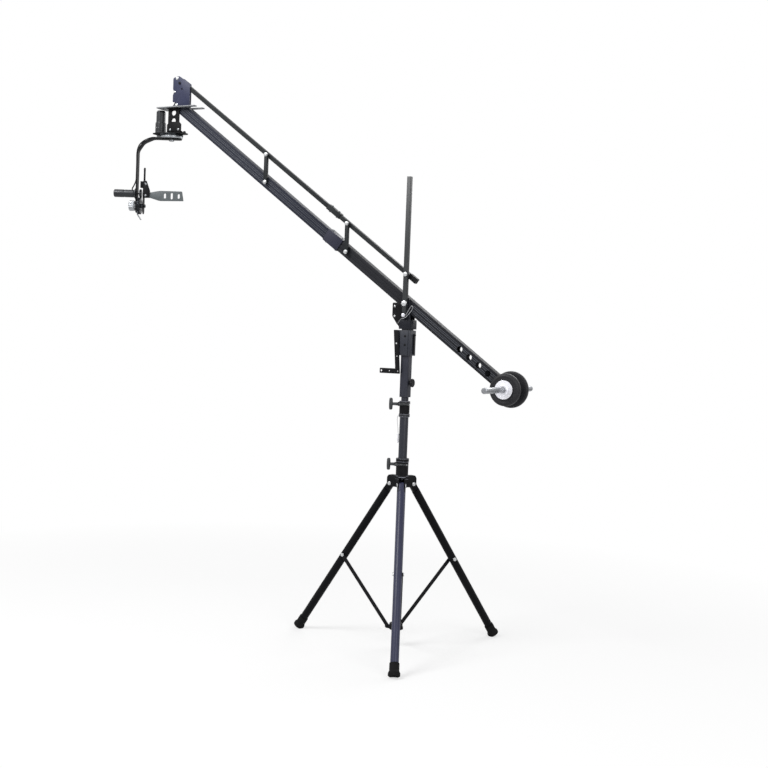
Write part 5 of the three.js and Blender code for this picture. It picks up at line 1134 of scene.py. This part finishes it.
# The head, in a frame on the pan axis
tiltMotor = {"left": -271, "radius": 18.75, "length": 98, "flange": 27, "waist": 17.5}
tiltGear = {"teeth": 38, "left": -152, "thickness": 12}
tiltPinion = {"teeth": 20, "left": -146, "thickness": 8}
tiltKnob = {"radius": 25, "left": -196, "length": 27, "flutes": 20, "dip": 1.5, "neck": 14, "bore": 6.4}
guard = {"thickness": 4, "half": 9, "path": ((0, -20), (0, -41), (8, -52), (17, -66))}
cradle = {"left": -129, "thickness": 4, "half": 15, "bottom": -39, "top": 118, "strip": 6, "stripTop": 184}
cameraPlate = {"near": -10, "thickness": 5, "slots": ((-22, 12), (11, 15), (45, 11)), "slotHalf": 5.2, "height": 51}
shaftHole = 6.4


def makeTurntable():
    t = turntable
    r, g, top, shaft, nut = t["radius"], t["groove"], gearLow - gap, t["shaft"], t["nut"]
    bottom, under, over = top - t["thickness"], barTop - 6.0, nose[2] + basePlate["top"] + gap
    middle = (top + bottom) / 2
    rows = [[nut - 2, under - t["nutHeight"]], [nut, under - t["nutEdge"]], [nut, under], [shaft, under],
            [shaft, bottom], [r - g, bottom], [r, bottom + g], [r, middle - 1], [r - g, middle], [r, middle + 1],
            [r, top - g], [r - g, top], [shaft, top], [shaft, over], [nut, over], [nut, over + t["nutEdge"]],
            [nut - 2, over + t["nutHeight"]]]
    put("turntable", [spun("z", rows, sides=120)], "satinAluminium", head)
    ring = prism("xy", gearLoop(52, math.pi - headTurn), gearLow, gearLow + basePlate["gearHeight"], 0.35)
    put("pan_gear", [drilled(ring, [bar("z", 8.4, gearLow - 5, gearLow + 15)])], "gunmetalPlate", head)


def makeArm():
    path = bentLine([[x, barMiddle + z] for x, z in arm["path"]], arm["bend"])
    cut = (arm["side"] - 15, arm["side"] + 15)
    holes = [bar("z", 8.4, barTop - 12, barTop + 6), bar("x", shaftHole, *cut, (0, tiltZ)),
             bar("x", 3.4, *cut, (0, pinionZ))]
    put("j_arm", [drilled(strap(path, arm["half"], arm["thickness"]), holes)], "blackPlate", head)


def around(radius, angles, height):
    return [(radius * math.cos(angle), height + radius * math.sin(angle)) for angle in angles]


def makeTiltDrive():
    m, g, p, seat, axle, level = tiltMotor, tiltGear, tiltPinion, armFace, (0, pinionZ), (0, tiltZ)
    a, r, w, end = m["left"], m["radius"], m["waist"], m["left"] + m["length"]
    case = [[r - 3, a], [r, a + 3], [r, a + 47], [w + 0.2, a + 49], [w + 0.2, a + 51], [r - 0.4, a + 53],
            [r - 0.4, end - 4], [w, end], [m["flange"], seat - 4], [m["flange"], seat]]
    put("tilt_motor", [spun("x", case, axle, 80, 0.7)], "motorCase", head)
    cap = [bar("x", 9, a - 0.1, a + 2, axle, 48, 0.3)]
    cap += [button("x", place, seat - 3.6, -1, 2.6, 1.8) for place in around(19, (0.8, 2.4, 3.9, 5.5), pinionZ)]
    fit("tiltMotorScrews", cap, "dullSteel", "tilt_motor", head)
    pinion = prism("yz", gearLoop(p["teeth"], -math.pi / 2, axle, True), p["left"], p["left"] + p["thickness"], 0.3)
    start = arm["side"] + arm["thickness"] / 2
    put("tilt_pinion", [pinion, bar("x", 3.1, start, p["left"] + 1, axle)], "gunmetalPlate", head)
    ring = prism("yz", gearLoop(g["teeth"], math.pi / 2, level), g["left"], g["left"] + g["thickness"], 0.4)
    lightening = [bar("x", 5.2, g["left"] - 5, g["left"] + 20, place, 40)
                  for place in around(23, np.arange(6) * math.pi / 3, tiltZ)]
    shaft = [[6, -190], [6, -151.7], [11, -151.7], [11, -129.3], [6, -129.3], [6, -124.7], [8, -124.7], [8, -118],
             [7, -117]]
    put("tilt_gear", [drilled(ring, lightening), spun("x", shaft, level, 48, 0.4)], "gunmetalPlate", head)


def makeKnobAndGuard():
    k, a, bore, neck, level = tiltKnob, tiltKnob["left"], tiltKnob["bore"], tiltKnob["neck"], (0, tiltZ)
    b, r, knurl = a + k["length"], k["radius"], flutes(k["flutes"], k["dip"])
    grip = [[bore, a], [r - 5, a], [r - 1.6, a + 1.5], [r, a + 4], [r, b - 4], [r - 2, b], [neck, b],
            [neck, armFace], [bore, armFace]]

    def onRim(along, turn):
        return knurl(along, turn) * (along < b) * (along > a + 1)
    put("tilt_knob", [lathe("x", grip, level, 160, 0.6, onRim, hollow=True)], "satinAluminium", head)
    seat = arm["side"] + arm["thickness"] / 2 + gap + guard["thickness"] / 2
    path = bentLine([[seat + x, tiltZ + z] for x, z in guard["path"]], 4, 1.0)
    blade = strap(path, guard["half"], guard["thickness"], False)
    put("gear_guard", [drilled(blade, [bar("x", 12, seat - 8, seat + 8, level, 48)])], "dullSteel", head)


def raised(corners):
    # corners whose heights are measured from the tilt axis
    return rounded([[x, tiltZ + z, *radius] for x, z, *radius in corners])


def makeCradle():
    c, left, half = cradle, cradle["left"], cradle["half"]
    low, high, strip = c["bottom"], c["top"], c["strip"]
    right, tip = left + c["thickness"], tiltZ + c["stripTop"]
    side = raised([[-half, high, 2], [half, high, 2], [half, -24, 14], [8, low, 8], [-8, low, 8], [-half, -24, 14]])
    gusset = raised([[left + 1, 40, 1], [left + 1, 119, 1], [left + 17, 121, 3], [left + 35.4, 72, 3],
                     [left + 30.5, 41, 2], [left + 17, 38, 1]])
    put("cradle", [drilled(prism("yz", side, left, right, 0.6),
                           [bar("x", shaftHole, left - 5, right + 5, (0, tiltZ))]),
                   prism("yz", linkLoop((0, tiltZ + high - 20), (0, tip - strip), strip), left, right + 3, 0.8),
                   block((-143, left + 1), 10, (tiltZ + 87, tiltZ + high), 0.8),
                   prism("xz", gusset, -half, -10.3, 0.6)],
        "blackPlate", head)
    heads = boltHeads("y", [(left + 14, tiltZ + z) for z in (104, 50)], -half, -1, 8, 1.8, 0.6)
    fit("cradleBolts", heads + [button("x", (0, tip - 8), left, -1, 3.4, 2.0)], "dullSteel", "cradle", head)
    p = cameraPlate
    near, far, half, height = p["near"], p["near"] + p["thickness"], p["slotHalf"], tiltZ + p["height"]
    loop = raised([[-120, 39], [-93, 39, 2], [-48, 26, 12], [68.6, 29, 3], [60.6, 75, 3], [-48, 75, 12],
                   [-93, 65.5, 2], [-120, 65.5]])
    slots = [prism("xz", linkLoop((x, height - reach + half), (x, height + reach - half), half), near - 5, far + 5,
                   0)
             for x, reach in p["slots"]]
    put("camera_plate", [drilled(prism("xz", loop, near, far, 0.6), slots)], "greyPlate", head)


stages = {
    "stand": (makeTubes, makeUpperCollar, makeTees, makeLegHub, makeSpreader, makeLegs),
    "riser and yoke": (makeRiser, makeSleeve, makeBracket, makeLever, makeYokeFittings, makeFulcrum, makeUpright),
    "boom": (makeBeams, makeRods, makeWeights),
    "front": (makePlates, makeHanger, makePanDrive),
    "head": (makeTurntable, makeArm, makeTiltDrive, makeKnobAndGuard, makeCradle),
}
for stage, makers in stages.items():
    for make in makers:
        make()
    print(stage, "built")

print("nodes still plain:", [node for node in sorted(frame["nodes"]) if not frame["nodes"][node].hide_render])
